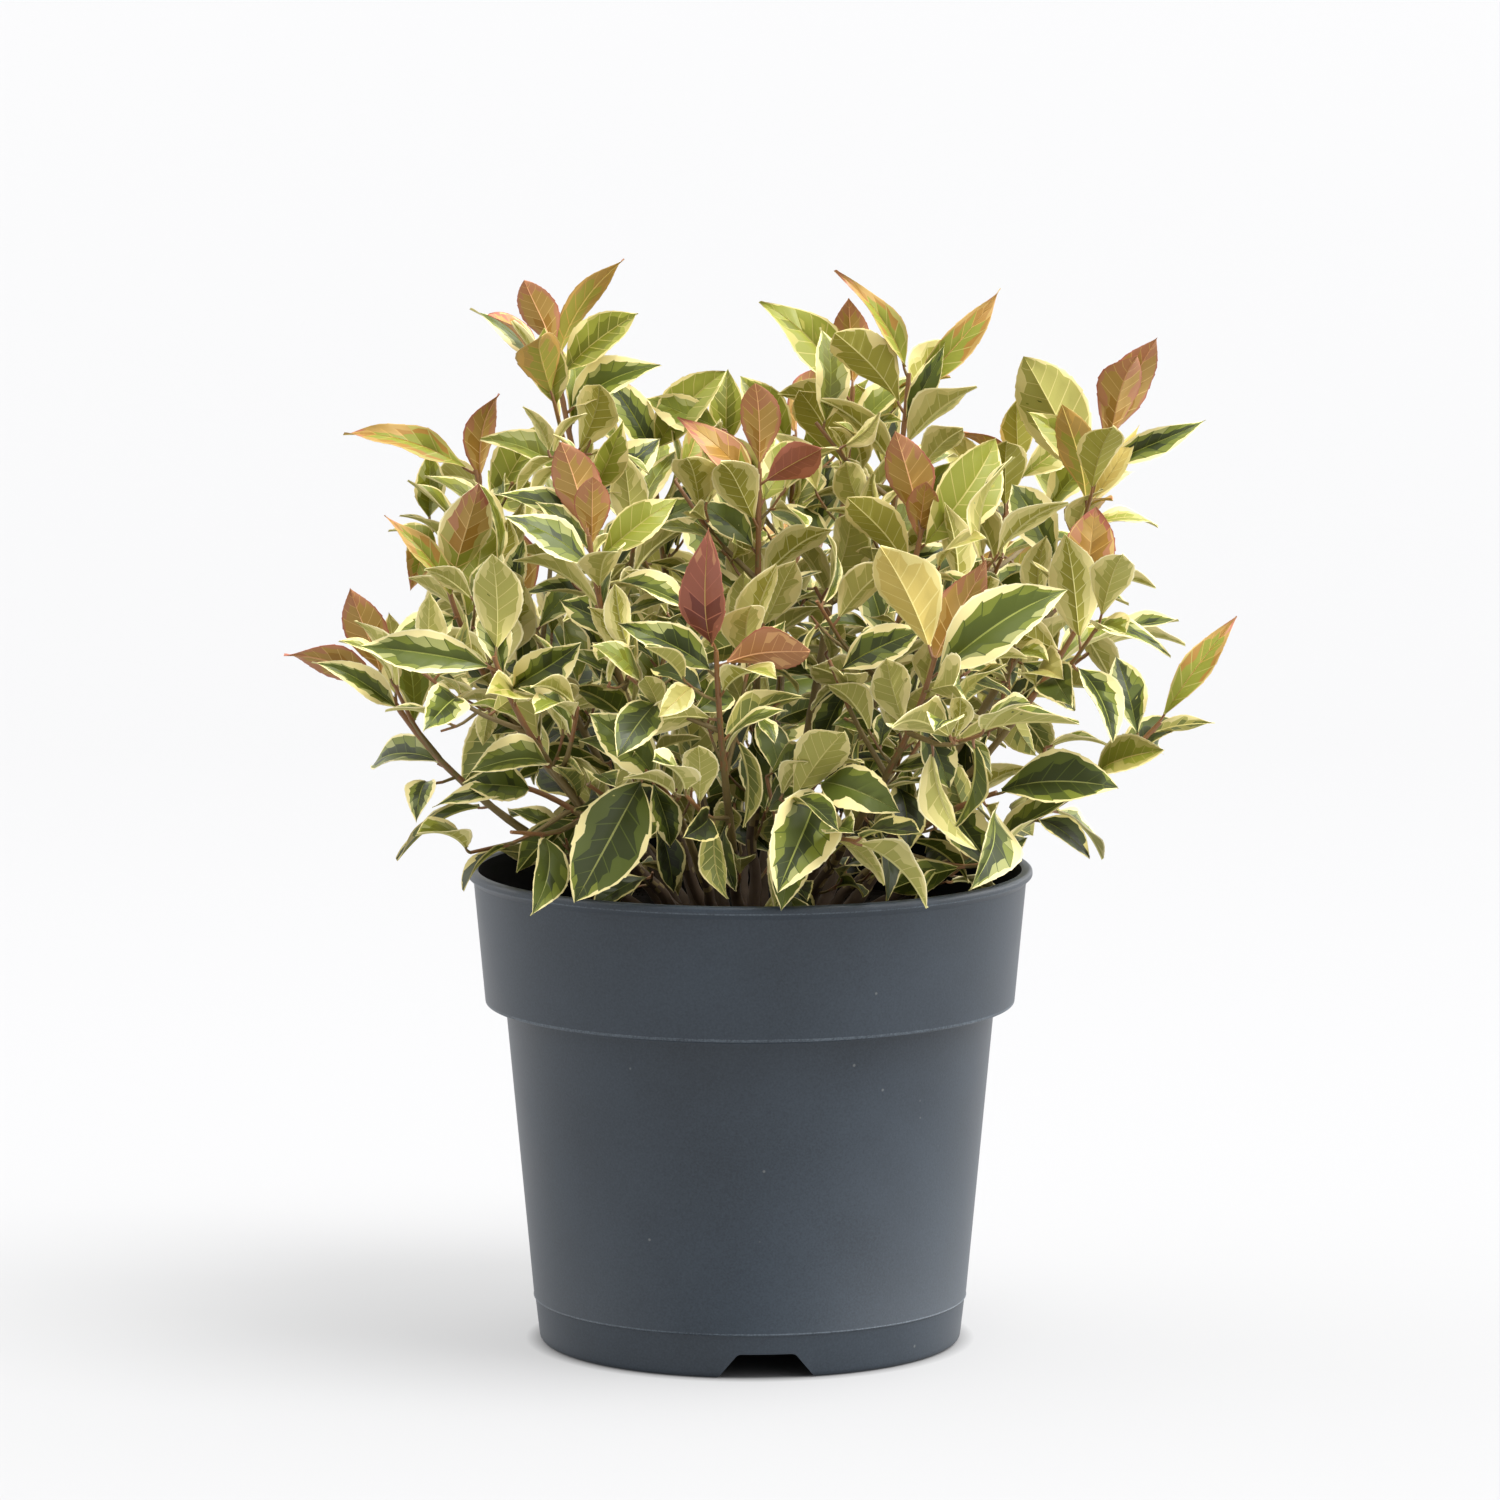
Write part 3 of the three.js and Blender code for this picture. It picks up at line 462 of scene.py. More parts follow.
def growMass(own):
    name, tip, slopes, bare, twigs, seed, kinds, crest = shoots[own]
    whole = curves[own][1]
    length = (1 - bare) * whole - habit["limbGap"]
    stem = pointsAlong(own, 1 - length / whole, 1)
    grown = {"lines": list(zip(stem[:-1], stem[1:])), "leaves": [], "twigs": []}
    for i, (azimuth, elevation, size, ratio, facing) in enumerate(crest):
        draw = seeded(seed, 90, i)
        root, _ = placeOn(stem, 1 - (i + 0.4) * habit["crestSpacing"] / length)
        growLeaf(root, heading(azimuth, elevation), heading(facing, habit["crestFacing"]), size, ratio,
                 own, grown, draw, share=1, kind=kinds[i])
    for twig in range(1, twigs + 1):
        growTwig(stem, mix(*habit["twigStretch"], (twig - 0.5) / twigs), own, twig, grown)
    crestShare = len(crest) * habit["crestSpacing"] / length
    growLeaves(stem, length, habit["stemBare"], 1 - crestShare, own, 0, grown)
    grown["solidLeaves"] = len(grown["leaves"])
    routes = [(stem, length)] + [(route, np.linalg.norm(np.diff(route, axis=0), axis=1).sum())
                                 for route, *girths in grown["twigs"]]
    for r, (route, reach) in enumerate(routes):
        count = int(reach / sprigs["spacing"])
        for i in range(count):
            growSprig(route, (i + 0.6) / (count + 0.3), own, 200 + 20 * r + i, grown)
    for i, at in enumerate(sprigs["onBough"]):
        growSprig(boughRoutes[own], at, own, 400 + i, grown, True)
    grown["leaves"] = [leaf for leaf in grown["leaves"] if not inOpening(leaf)]
    crestLeaves = [leaf for leaf in grown["leaves"] if "kind" in leaf]
    for leaf, scale in zip(crestLeaves, crestScale.get(name, ())):
        leaf["length"] *= scale
    ends = [(lastBorne(route, grown["leaves"], grown["twigs"]), *girths) for route, *girths in grown["twigs"]]
    grown["twigs"] = [end for end in ends if end[0] is not None]
    return grown


masses = [growMass(own) for own in range(len(shoots))]
print("grown:", sum(m["solidLeaves"] for m in masses), "leaves of the solids,",
      sum(len(m["leaves"]) for m in masses), "in all,", sum(len(m["twigs"]) for m in masses), "twigs")


# Colours and materials

def linear(colour):  # sRGB hex to linear
    values = [int(colour[i:i + 2], 16) / 255 for i in (1, 3, 5)]
    return [v / 12.92 if v <= 0.04045 else ((v + 0.055) / 1.055) ** 2.4 for v in values]


def rgba(colour):
    return (*linear(colour), 1)


def addNode(tree, kind, settings, links=()):  # a socket goes by its name, or by its number where names repeat
    node = tree.nodes.new(kind)
    for name, value in settings.items():
        if isinstance(name, int) or name in node.inputs:
            node.inputs[name].default_value = value
        else:
            setattr(node, name, value)
    for socket, source, output in links:
        tree.links.new(source.outputs[output], node.inputs[socket])
    return node


mixLow, mixHigh, mixOut = 6, 7, 2  # sockets of a Mix node that hold colours


def newMaterial(name, colour, ior):
    material = bpy.data.materials.new(name)
    material.use_nodes = True
    shader = material.node_tree.nodes["Principled BSDF"]
    shader.inputs["Base Color"].default_value = rgba(colour)
    shader.inputs["IOR"].default_value = ior
    material.diffuse_color = rgba(colour)
    place = addNode(material.node_tree, "ShaderNodeTexCoord", {})
    return material, material.node_tree, shader, place


# A leaf's waxy skin: a soft sheen that the net of its finest veins breaks up, drawn coarser than life so
# that it shows. The colours are plain, because each belongs to its place on a leaf: midrib, blade, margin
# or underside.
leafSkin = {"ior": 1.38, "cell": 1.4, "relief": 0.05, "sheenPatch": 8.33, "gloss": (0.36, 0.52),
            "underGloss": (0.6, 0.75)}
# The darkest green is painted shade for the leaves deep inside the plant's foot
leafColours = {
    "paintedShadeGreen": "#1c2008", "deepGreen": "#323a12", "darkGreen": "#4f591d", "green": "#71792a",
    "greyGreen": "#999b5c", "veinGreen": "#717738", "limeRib": "#a6ab5c", "dullCream": "#c9bb78",
    "cream": "#e9da9b", "paleCream": "#f0e5b3", "oliveDark": "#676a16", "olive": "#85882d",
    "oliveLight": "#a89f55", "yellowGreen": "#b9b06a", "straw": "#dccc8b", "copperDark": "#9b732f",
    "copper": "#ac8a49", "copperLight": "#c9a868", "copperVein": "#c1984f", "copperRose": "#b07b57",
    "salmon": "#cf9f70", "rose": "#a9654f", "deepRed": "#6f382d", "red": "#925541", "tan": "#cfb866",
    "paleTan": "#dfcf86", "underSage": "#a8a356", "underPale": "#c9bf78", "underVein": "#cdc684",
    "underCream": "#dccf8e", "underOlive": "#9a943d",
}


def leafMaterial(name):
    material, tree, shader, place = newMaterial("waxy_leaf_" + name, leafColours[name], leafSkin["ior"])
    low, high = leafSkin["underGloss" if name.startswith("under") else "gloss"]
    cells = addNode(tree, "ShaderNodeTexVoronoi",
                    {"feature": "DISTANCE_TO_EDGE", "Scale": 1 / (leafSkin["cell"] * mm)},
                    [("Vector", place, "Object")])
    sheen = addNode(tree, "ShaderNodeTexNoise", {"Scale": 1 / (leafSkin["sheenPatch"] * mm), "Detail": 3},
                    [("Vector", place, "Object")])
    gloss = addNode(tree, "ShaderNodeMapRange", {"To Min": low, "To Max": high}, [("Value", sheen, "Fac")])
    bump = addNode(tree, "ShaderNodeBump", {"Strength": 0.35, "Distance": leafSkin["relief"] * mm},
                   [("Height", cells, "Distance")])
    tree.links.new(gloss.outputs["Result"], shader.inputs["Roughness"])
    tree.links.new(bump.outputs["Normal"], shader.inputs["Normal"])
    return material


# Each kind of leaf: the colours of midrib, inner blade, outer blade, margin, edge and side veins, above
# and below, and how far out the green reaches, as least and most. A tuple's colours are dealt out by
# chance, and a list's run from the leaf's foot to its tip.
leafKinds = {
    # n: every colour darkened, as painted shade for the leaves deep inside the plant's foot
    "n": {"reach": (0.8, 0.95),
          "top": ("veinGreen", ("paintedShadeGreen", "deepGreen"), "deepGreen", "dullCream", "dullCream",
                  "deepGreen"),
          "under": ("underSage", "darkGreen", ("green", "darkGreen"), "dullCream", "dullCream", "green")},
    "d": {"reach": (0.84, 0.95),
          "top": ("greyGreen", ("deepGreen", "darkGreen"), ("darkGreen", "darkGreen", "green"), "cream",
                  "cream", "darkGreen"),
          "under": ("underPale", ("veinGreen", "underSage"), "underSage", "underCream", "cream",
                    "underPale")},
    "g": {"reach": (0.6, 0.88),
          "top": ("limeRib", ("darkGreen", "darkGreen", "deepGreen"), ("green", "green", "greyGreen"),
                  "cream", "paleCream", "darkGreen"),
          "under": ("underVein", "underSage", ("underSage", "underPale"), "underCream", "paleCream",
                    "underPale")},
    "m": {"reach": (0.62, 0.9),
          "top": ("limeRib", ("green", "oliveDark"), ("olive", "green", "greyGreen"), ("straw", "cream"),
                  "cream", "olive"),
          "under": ("underVein", ("underSage", "underOlive"), "underPale", "underCream", "paleCream",
                    "underVein")},
    "o": {"reach": (0.82, 0.95),
          "top": ("yellowGreen", ("oliveDark", "olive"), "olive", ("straw", "oliveLight"), "straw",
                  "oliveLight"),
          "under": ("yellowGreen", "underOlive", "underOlive", "straw", "straw", "yellowGreen")},
    "y": {"reach": (0.66, 0.88),
          "top": ("straw", ("oliveLight", "olive"), ("oliveLight", "yellowGreen"), "straw", "paleCream",
                  "oliveLight"),
          "under": ("underVein", "underOlive", "underPale", "underCream", "paleCream", "underVein")},
    "k": {"reach": (0.7, 0.9),
          "top": ("copperLight", ["olive", "olive", "copperDark"], ["olive", "copperDark", "copper",
                  "copperRose"], ["oliveLight", "copper", "rose"], "copperLight",
                  ["oliveLight", "copperVein"]),
          "under": ("tan", ["underOlive", "underOlive", "copper"], ["underOlive", "copper", "copperVein"],
                    "copperVein", "copper", "copperVein")},
    "c": {"reach": (0.8, 0.93),
          "top": ("copperLight", ["olive", "copperDark", "copper", "copperRose"], ["copper", "copperRose",
                  "rose"], ["straw", "copperLight", "rose"], "rose", "copperVein"),
          "under": ("salmon", ["copperDark", "copper", "copperRose"], ["copper", "copperRose"], "copperRose",
                    "rose", "copperLight")},
    "s": {"reach": (0.7, 0.92),
          "top": ("salmon", "copperRose", "salmon", "salmon", "copperLight", "salmon"),
          "under": ("salmon", "copperRose", ("copperRose", "salmon"), "copperRose", "rose", "salmon")},
    "r": {"reach": (0.7, 0.92),
          "top": ("copperLight", ["deepRed", "red", "red"], ["deepRed", "red", "copperRose"], "red", "rose",
                  "rose"),
          "under": ("copper", "red", "red", "rose", "rose", "rose")},
    "t": {"reach": (0.7, 0.9),
          "top": ("paleTan", "tan", "tan", "paleTan", "cream", "paleTan"),
          "under": ("paleTan", "tan", "tan", "paleTan", "cream", "paleTan")},
    "w": {"reach": (0.76, 0.92),
          "top": ("copperLight", ["olive", "copperDark", "copper"], ["oliveLight", "copper", "copperRose"],
                  ["straw", "straw", "rose"], "paleCream", "copperLight"),
          "under": ("copperLight", ["olive", "copperDark", "copper", "copperRose"], ["oliveLight", "copper",
                    "copperRose", "rose"], ["straw", "straw", "rose"], "paleCream", "copperLight")},
}

# A leaf's age grows with its height, with its place along its shoot and outwards. Each row has an upper
# limit of age and the kinds that are dealt out below it, from deep inside the plant's foot to its tips.
# The darkest kind, n, dealt out deep inside, is painted shade.
ageing = {"lowest": 180, "rise": 150, "outmost": 150, "height": 0.55, "along": 0.3, "outward": 0.35,
          "outwardFrom": 0.35, "chance": 0.3}
leafAges = ((0.16, "nndd"), (0.34, "ndddgg"), (0.5, "dgggm"), (0.68, "ggmmy"), (0.86, "mmooky"), (9, "ookyc"))


def kindOf(leaf, draw):
    middle = leaf["root"] + 0.5 * leaf["length"] * leaf["along"]
    height = (middle[2] - ageing["lowest"]) / ageing["rise"]
    outward = np.hypot(*(middle[:2] - habit["crownMiddle"])) / ageing["outmost"]
    age = ageing["height"] * height + ageing["along"] * leaf["share"] \
        + ageing["outward"] * (outward - ageing["outwardFrom"]) + ageing["chance"] * (draw() - 0.5)
    kinds = next(kinds for limit, kinds in leafAges if age < limit)
    return kinds[int(draw() * len(kinds))]


# A leaf's blade is a closed thin shell. Its rows sweep forward as the side veins do, and its columns
# follow the ragged borders of green and cream, so each face has one plain colour. Widths, thicknesses,
# veins and the rib's dip are in mm, the twist is in degrees and curves are powers. The rest are counts,
# or shares of the leaf's length, half width or thickness.
blade = {
    "rows": 24, "veinRows": 3, "veinShare": 0.07, "sweep": 0.2, "petiole": 0.1, "reach": 1.05,
    # outline
    "rib": 0.026, "margin": 0.945, "widen": 1.02, "broad": 0.42, "broadShare": 0.35, "slender": 0.36,
    "slenderShare": 1.6, "footWidth": 0.45, "tipWidth": 0.1, "teeth": 0.022, "footCurve": 1.12,
    "footVariation": (-0.12, 0.12), "tipCurve": 1.3, "tipVariation": (-0.1, 0.12), "tipCurves": (0.8, 1.4),
    "bluntFrom": 0.38, "blunter": 3.6,
    # bends
    "archVariation": (0.75, 1.35), "skew": 0.5, "fold": (0.12, 0.62), "foldAtFoot": 1.25, "foldLoss": 0.6,
    "wave": 0.018, "waveCount": (1.2, 2.4), "waveShift": 0.23, "veins": 0.16, "ribDip": 0.3,
    "curl": (-0.1, 0.6), "curlFrom": 0.6, "twist": 26, "twistFrom": 0.2,
    # thickness
    "thickness": 0.3, "ribThickness": 0.8, "ribFlank": 1.5, "edge": 0.6, "tipLoss": 0.5,
}

# The green of a blade runs out in lobes, one for each side vein. All are shares of the half width or of
# the lobes, but tipFrom, which is a share of the leaf's length.
pattern = {
    "lobe": 0.28, "lobeFall": 0.5, "saw": 0.13, "sawMiddle": 0.4, "ragged": 0.07, "wholeLobes": (0.08, 0.98),
    "shortLobes": (0.05, 0.4), "tipFrom": 0.72, "tipLoss": 0.3, "inner": (0.35, 0.85), "innerSaw": 0.1,
    "leastInner": 0.06, "leastOuter": 0.14, "leastBetween": 0.05, "leastCream": 0.03, "oneColour": 0.72,
    "runMixing": 0.25, "runMiddle": 0.4,
}


def bladeBorders(kinds, rows, rng):
    count, sectors = len(kinds), rows // blade["veinRows"] + 2
    reach = np.array([leafKinds[kind]["reach"] for kind in kinds])
    base = mix(reach[:, :1], reach[:, 1:], rng.random((count, 1)))
    lobes = base[:, :, None] + pattern["lobe"] * (rng.random((count, 2, sectors)) - 0.5)
    chance = rng.random((count, 2, sectors))
    share, reach = pattern["wholeLobes"]
    lobes = np.where(chance < share, reach, lobes)
    share, reach = pattern["shortLobes"]
    lobes = np.where(chance > 1 - share, reach, lobes)
    row = np.arange(rows + 1)
    sector, phase = row // blade["veinRows"], row % blade["veinRows"] / blade["veinRows"]
    # each lobe of green runs out along its vein and falls back before the next
    fall = pattern["lobeFall"] * phase
    outer = lobes[:, :, sector] * (1 - fall) + lobes[:, :, sector + 1] * fall
    outer += pattern["saw"] * (pattern["sawMiddle"] - phase)
    outer += pattern["ragged"] * (rng.random(outer.shape) - 0.5)
    nearTip = np.clip((row / rows - pattern["tipFrom"]) / (1 - pattern["tipFrom"]), 0, 1)
    outer *= 1 - pattern["tipLoss"] * nearTip
    inner = outer * mix(*pattern["inner"], rng.random((count, 2, sectors)))[:, :, sector]
    inner += pattern["innerSaw"] * (0.5 - phase)
    outer = np.clip(outer, blade["rib"] + pattern["leastOuter"], blade["margin"] - pattern["leastCream"])
    inner = np.clip(inner, blade["rib"] + pattern["leastInner"], outer - pattern["leastBetween"])
    return inner, outer


def bladePoints(leaves, inner, outer, rng):
    count, rows = len(leaves), blade["rows"]
    row = np.arange(rows + 1)
    phase = row % blade["veinRows"]
    step = (1 - blade["veinShare"]) / (blade["veinRows"] - 1)  # the row on each vein is a narrow one
    within = np.where(phase == 0, 0, blade["veinShare"] + step * (phase - 1))
    t = (row // blade["veinRows"] + within) * blade["veinRows"] / rows
    half = np.stack([np.zeros_like(inner), np.full_like(inner, blade["rib"]), inner, outer,
                     np.full_like(inner, blade["margin"]), np.ones_like(inner)], axis=-1)
    s = np.concatenate([-half[:, 0, :, :0:-1], half[:, 1]], axis=-1)  # from -1 at one edge to 1 at the other
    size = np.abs(s)
    onRib, besideRib, onEdge = size < 0.01, size < blade["rib"] + 0.01, size > 0.99
    along = t[None, :, None] + blade["sweep"] * size * np.sin(np.pi * t)[None, :, None]
    column = lambda name: np.array([leaf[name] for leaf in leaves])
    length, ratio = column("length")[:, None, None], column("ratio")[:, None, None]
    ratio = np.minimum(ratio, blade["broad"] + blade["broadShare"] * (ratio - blade["broad"]))
    ratio = np.minimum(ratio, blade["slender"] + blade["slenderShare"] * (ratio - blade["slender"]))
    vary = lambda low, high: mix(low, high, rng.random((count, 1, 1)))
    # narrow leaves are long-pointed, and broad ones are blunt and widest past their middle
    foot = blade["footCurve"] + vary(*blade["footVariation"])
    end = np.clip(blade["tipCurve"] - blade["blunter"] * (ratio - blade["bluntFrom"]), *blade["tipCurves"])
    end = end + vary(*blade["tipVariation"])
    shape = lambda x: x ** foot * (1 - x) ** end
    clipped = np.clip(along, 0, 1)
    width = blade["widen"] * length * ratio / 2 * shape(clipped) / shape(foot / (foot + end))
    width = np.maximum(width, mix(blade["footWidth"], blade["tipWidth"], clipped))
    teeth = 1 + blade["teeth"] * np.where(row % 2, -1, 1)[None, :, None] * onEdge
    u = blade["petiole"] + (blade["reach"] - blade["petiole"]) * along
    arch = length * habit["arch"] * 4 * u * (1 - u) * (1 + blade["skew"] * (0.5 - u))
    arch = arch * vary(*blade["archVariation"])
    fold = vary(*blade["fold"]) * (blade["foldAtFoot"] - blade["foldLoss"] * along)
    waves = vary(*blade["waveCount"]) * along + vary(0, 1) + blade["waveShift"] * np.sign(s)
    wave = blade["wave"] * length * size ** 2 * np.sin(2 * np.pi * waves)
    veinRow = (phase < 2)[None, :, None]
    veins = -blade["veins"] * veinRow * np.sin(np.pi * np.clip(size, 0, 1)) * np.sin(np.pi * clipped)
    ribDip = -blade["ribDip"] * onRib
    curl = -vary(*blade["curl"]) * length * np.clip(u - blade["curlFrom"], 0, 1) ** 2
    lift = arch + fold * width * size ** 1.3 + wave + veins + ribDip + curl
    turn = np.radians(vary(-blade["twist"], blade["twist"])) * (u - blade["twistFrom"])
    side = s * width * teeth
    origin, way, across, face = (column(name)[:, None, None] for name in ("root", "along", "across", "face"))
    right = np.cos(turn)[..., None] * across + np.sin(turn)[..., None] * face
    up = np.cos(turn)[..., None] * face - np.sin(turn)[..., None] * across
    top = origin + (length * u)[..., None] * way + side[..., None] * right + lift[..., None] * up
    depth = blade["thickness"] * np.where(besideRib, blade["ribFlank"], 1)
    depth = np.where(onRib, blade["ribThickness"], depth)
    depth = depth * (1 - blade["tipLoss"] * clipped) * np.where(onEdge, blade["edge"], 1)
    return top, top - depth[..., None] * up


def bladeFaces(rows, columns):
    at = lambda row, column, under: (under * (rows + 1) + row) * (columns + 1) + column
    faces, zones = [], []
    for under in (0, 1):
        for row in range(rows):
            for column in range(columns):
                quad = [at(row, column, under), at(row, column + 1, under),
                        at(row + 1, column + 1, under), at(row + 1, column, under)]
                faces.append(quad[::-1] if under else quad)
                zones.append((under, row, column))
    for row in range(rows):
        faces.append([at(row, 0, 0), at(row + 1, 0, 0), at(row + 1, 0, 1), at(row, 0, 1)])
        faces.append([at(row, columns, 0), at(row, columns, 1),
                      at(row + 1, columns, 1), at(row + 1, columns, 0)])
        zones += [(0, row, 0), (0, row, columns - 1)]
    for column in range(columns):
        faces.append([at(0, column, 0), at(0, column, 1), at(0, column + 1, 1), at(0, column + 1, 0)])
        faces.append([at(rows, column, 0), at(rows, column + 1, 0),
                      at(rows, column + 1, 1), at(rows, column, 1)])
        zones += [(0, 0, column), (0, rows - 1, column)]
    return np.array(faces), np.array(zones)


bladeQuads, bladeZones = bladeFaces(blade["rows"], 10)  # five columns on each side of the midrib
colourNames = list(leafColours)


def bladeColours(kinds, rng):
    side, row, column = bladeZones.T
    zone = np.array([4, 3, 2, 1, 0, 0, 1, 2, 3, 4])[column]  # numbered as the colours in leafKinds are
    zone = np.where((row % blade["veinRows"] == 0) & ((zone == 1) | (zone == 2)), 5, zone)
    sectors = blade["rows"] // blade["veinRows"]
    sector = row // blade["veinRows"] + sectors * (column > 4)
    way = np.arange(2 * sectors) % sectors / sectors
    dealt = np.empty((len(kinds), len(bladeZones)), int)
    for k, kind in enumerate(kinds):
        picks = rng.random((6, 2 * sectors))
        picks[1] = mix(picks[1], rng.random(), pattern["oneColour"])  # the inner blade is mostly one colour
        for under, name in enumerate(("top", "under")):
            for z, colours in enumerate(leafKinds[kind][name]):
                share = picks[z]
                if isinstance(colours, list):
                    share = np.clip(way + pattern["runMixing"] * (picks[z] - pattern["runMiddle"]), 0, 0.99)
                colours = [colours] if isinstance(colours, str) else colours
                table = np.array([colourNames.index(colours[int(p * len(colours))]) for p in share])
                here = (side == under) & (zone == z)
                dealt[k, here] = table[sector[here]]
    return dealt


# Mesh pieces

def addPiece(name, points, faces, materials, indices, sharp=50):
    mesh = bpy.data.meshes.new(name)
    shift = np.array([potAxis.x, potAxis.y, 0])
    mesh.from_pydata((np.asarray(points) * mm + shift).tolist(), [], [list(face) for face in faces])
    for material in materials:
        mesh.materials.append(material)
    mesh.polygons.foreach_set("material_index", np.asarray(indices, dtype=np.int32))
    mesh.polygons.foreach_set("use_smooth", np.ones(len(mesh.polygons), dtype=bool))
    mesh.set_sharp_from_angle(angle=math.radians(sharp))
    mesh.validate()
    piece = bpy.data.objects.new(name, mesh)
    bpy.context.scene.collection.objects.link(piece)
    return piece


leafMaterials = {}


def addLeaves(name, leaves, own):
    rng = np.random.default_rng([own, 41])
    draw = seeded(own, 900)
    kinds = [leaf.get("kind") or kindOf(leaf, draw) for leaf in leaves]
    inner, outer = bladeBorders(kinds, blade["rows"], rng)
    top, below = bladePoints(leaves, inner, outer, rng)
    points = np.stack([top, below], axis=1).reshape(len(leaves), -1, 3)
    faces = bladeQuads + (np.arange(len(leaves)) * points.shape[1])[:, None, None]
    used, indices = np.unique(bladeColours(kinds, rng), return_inverse=True)
    for number in used:
        if number not in leafMaterials:
            leafMaterials[number] = leafMaterial(colourNames[number])
    piece = addPiece("leaves_" + name, points.reshape(-1, 3), faces.reshape(-1, 4).tolist(),
                     [leafMaterials[number] for number in used], indices.ravel())
    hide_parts("foliage_" + name)
    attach(piece, "root")


# Stems: thin bark, brown and furrowed at the foot, tan above and red-brown where the year's growth
# and the leaf stalks are
bark = {
    "sides": 10, "ring": 2.2, "slim": 0.88, "sunk": 1.5, "sway": 0.9, "swayTurns": (0.8, 1.7),
    "furrow": 0.09, "furrowLoss": 0.8, "node": 0.14, "nodeSpacing": 8.4, "nodeShift": 2, "nodeWidth": 0.9,
    "twigSides": 6, "twigRings": 6, "twigAges": (0.45, 0.95), "stalkSides": 5, "stalkRings": 4,
    "stalk": (0.62, 0.42), "stalkReach": 1.25, "stalkSunk": 0.35, "stalkAges": (0.62, 1.02),
    "tanFrom": 0.24, "redFrom": 0.72, "patches": 0.26, "ior": 1.5,
}
# Each bark's colour, grain in mm and roughness
barkAges = {"barkBrown": ("#4b3a28", 0.8, 0.75), "barkTan": ("#76643a", 1, 0.6),
            "youngRed": ("#835b38", 1.2, 0.45)}


def barkMaterial(name, colour, grain, roughness):
    material, tree, shader, place = newMaterial("thin_" + name, colour, bark["ior"])
    shader.inputs["Roughness"].default_value = roughness
    rough = addNode(tree, "ShaderNodeTexNoise", {"Scale": 1 / (grain * mm), "Detail": 5, "Roughness": 0.65},
                    [("Vector", place, "Object")])
    bump = addNode(tree, "ShaderNodeBump", {"Strength": 0.6, "Distance": 0.12 * mm},
                   [("Height", rough, "Fac")])
    tree.links.new(bump.outputs["Normal"], shader.inputs["Normal"])
    return material


barkMaterials = [barkMaterial(name, *facts) for name, facts in barkAges.items()]


def wallFaces(sides, rings):  # faces between rings of points that follow each other
    k = np.arange(sides)
    after = (k + 1) % sides
    ring = np.stack([k, after, after + sides, k + sides], axis=1)
    return (ring + sides * np.arange(rings - 1)[:, None, None]).reshape(-1, 4).tolist()


def fanFaces(sides, first, middle):  # three-cornered faces round a middle point
    return [[first + k, first + (k + 1) % sides, middle] for k in range(sides)]


def tube(points, radii, sides):  # radii is one number for each ring, or one row of them
    radii = np.asarray(radii, dtype=float)
    radii = np.repeat(radii[:, None], sides, 1) if radii.ndim == 1 else radii
    ahead = np.vstack([points[1:], points[-1:]])
    behind = np.vstack([points[:1], points[:-1]])
    way = ahead - behind
    way /= np.linalg.norm(way, axis=1)[:, None]
    side = np.array([1.0, 0, 0]) if abs(way[0][0]) < 0.9 else np.array([0, 1.0, 0])
    turns = 2 * np.pi * np.arange(sides) / sides
    rings = []
    for point, along, radius in zip(points, way, radii):
        side = unit(side - (side @ along) * along)
        across = np.cross(along, side)
        outwards = np.cos(turns)[:, None] * side + np.sin(turns)[:, None] * across
        rings.append(point + radius[:, None] * outwards)
    last = sides * (len(points) - 1)
    ends = [list(range(sides))[::-1], list(range(last, last + sides))]
    return np.concatenate(rings), wallFaces(sides, len(points)) + ends


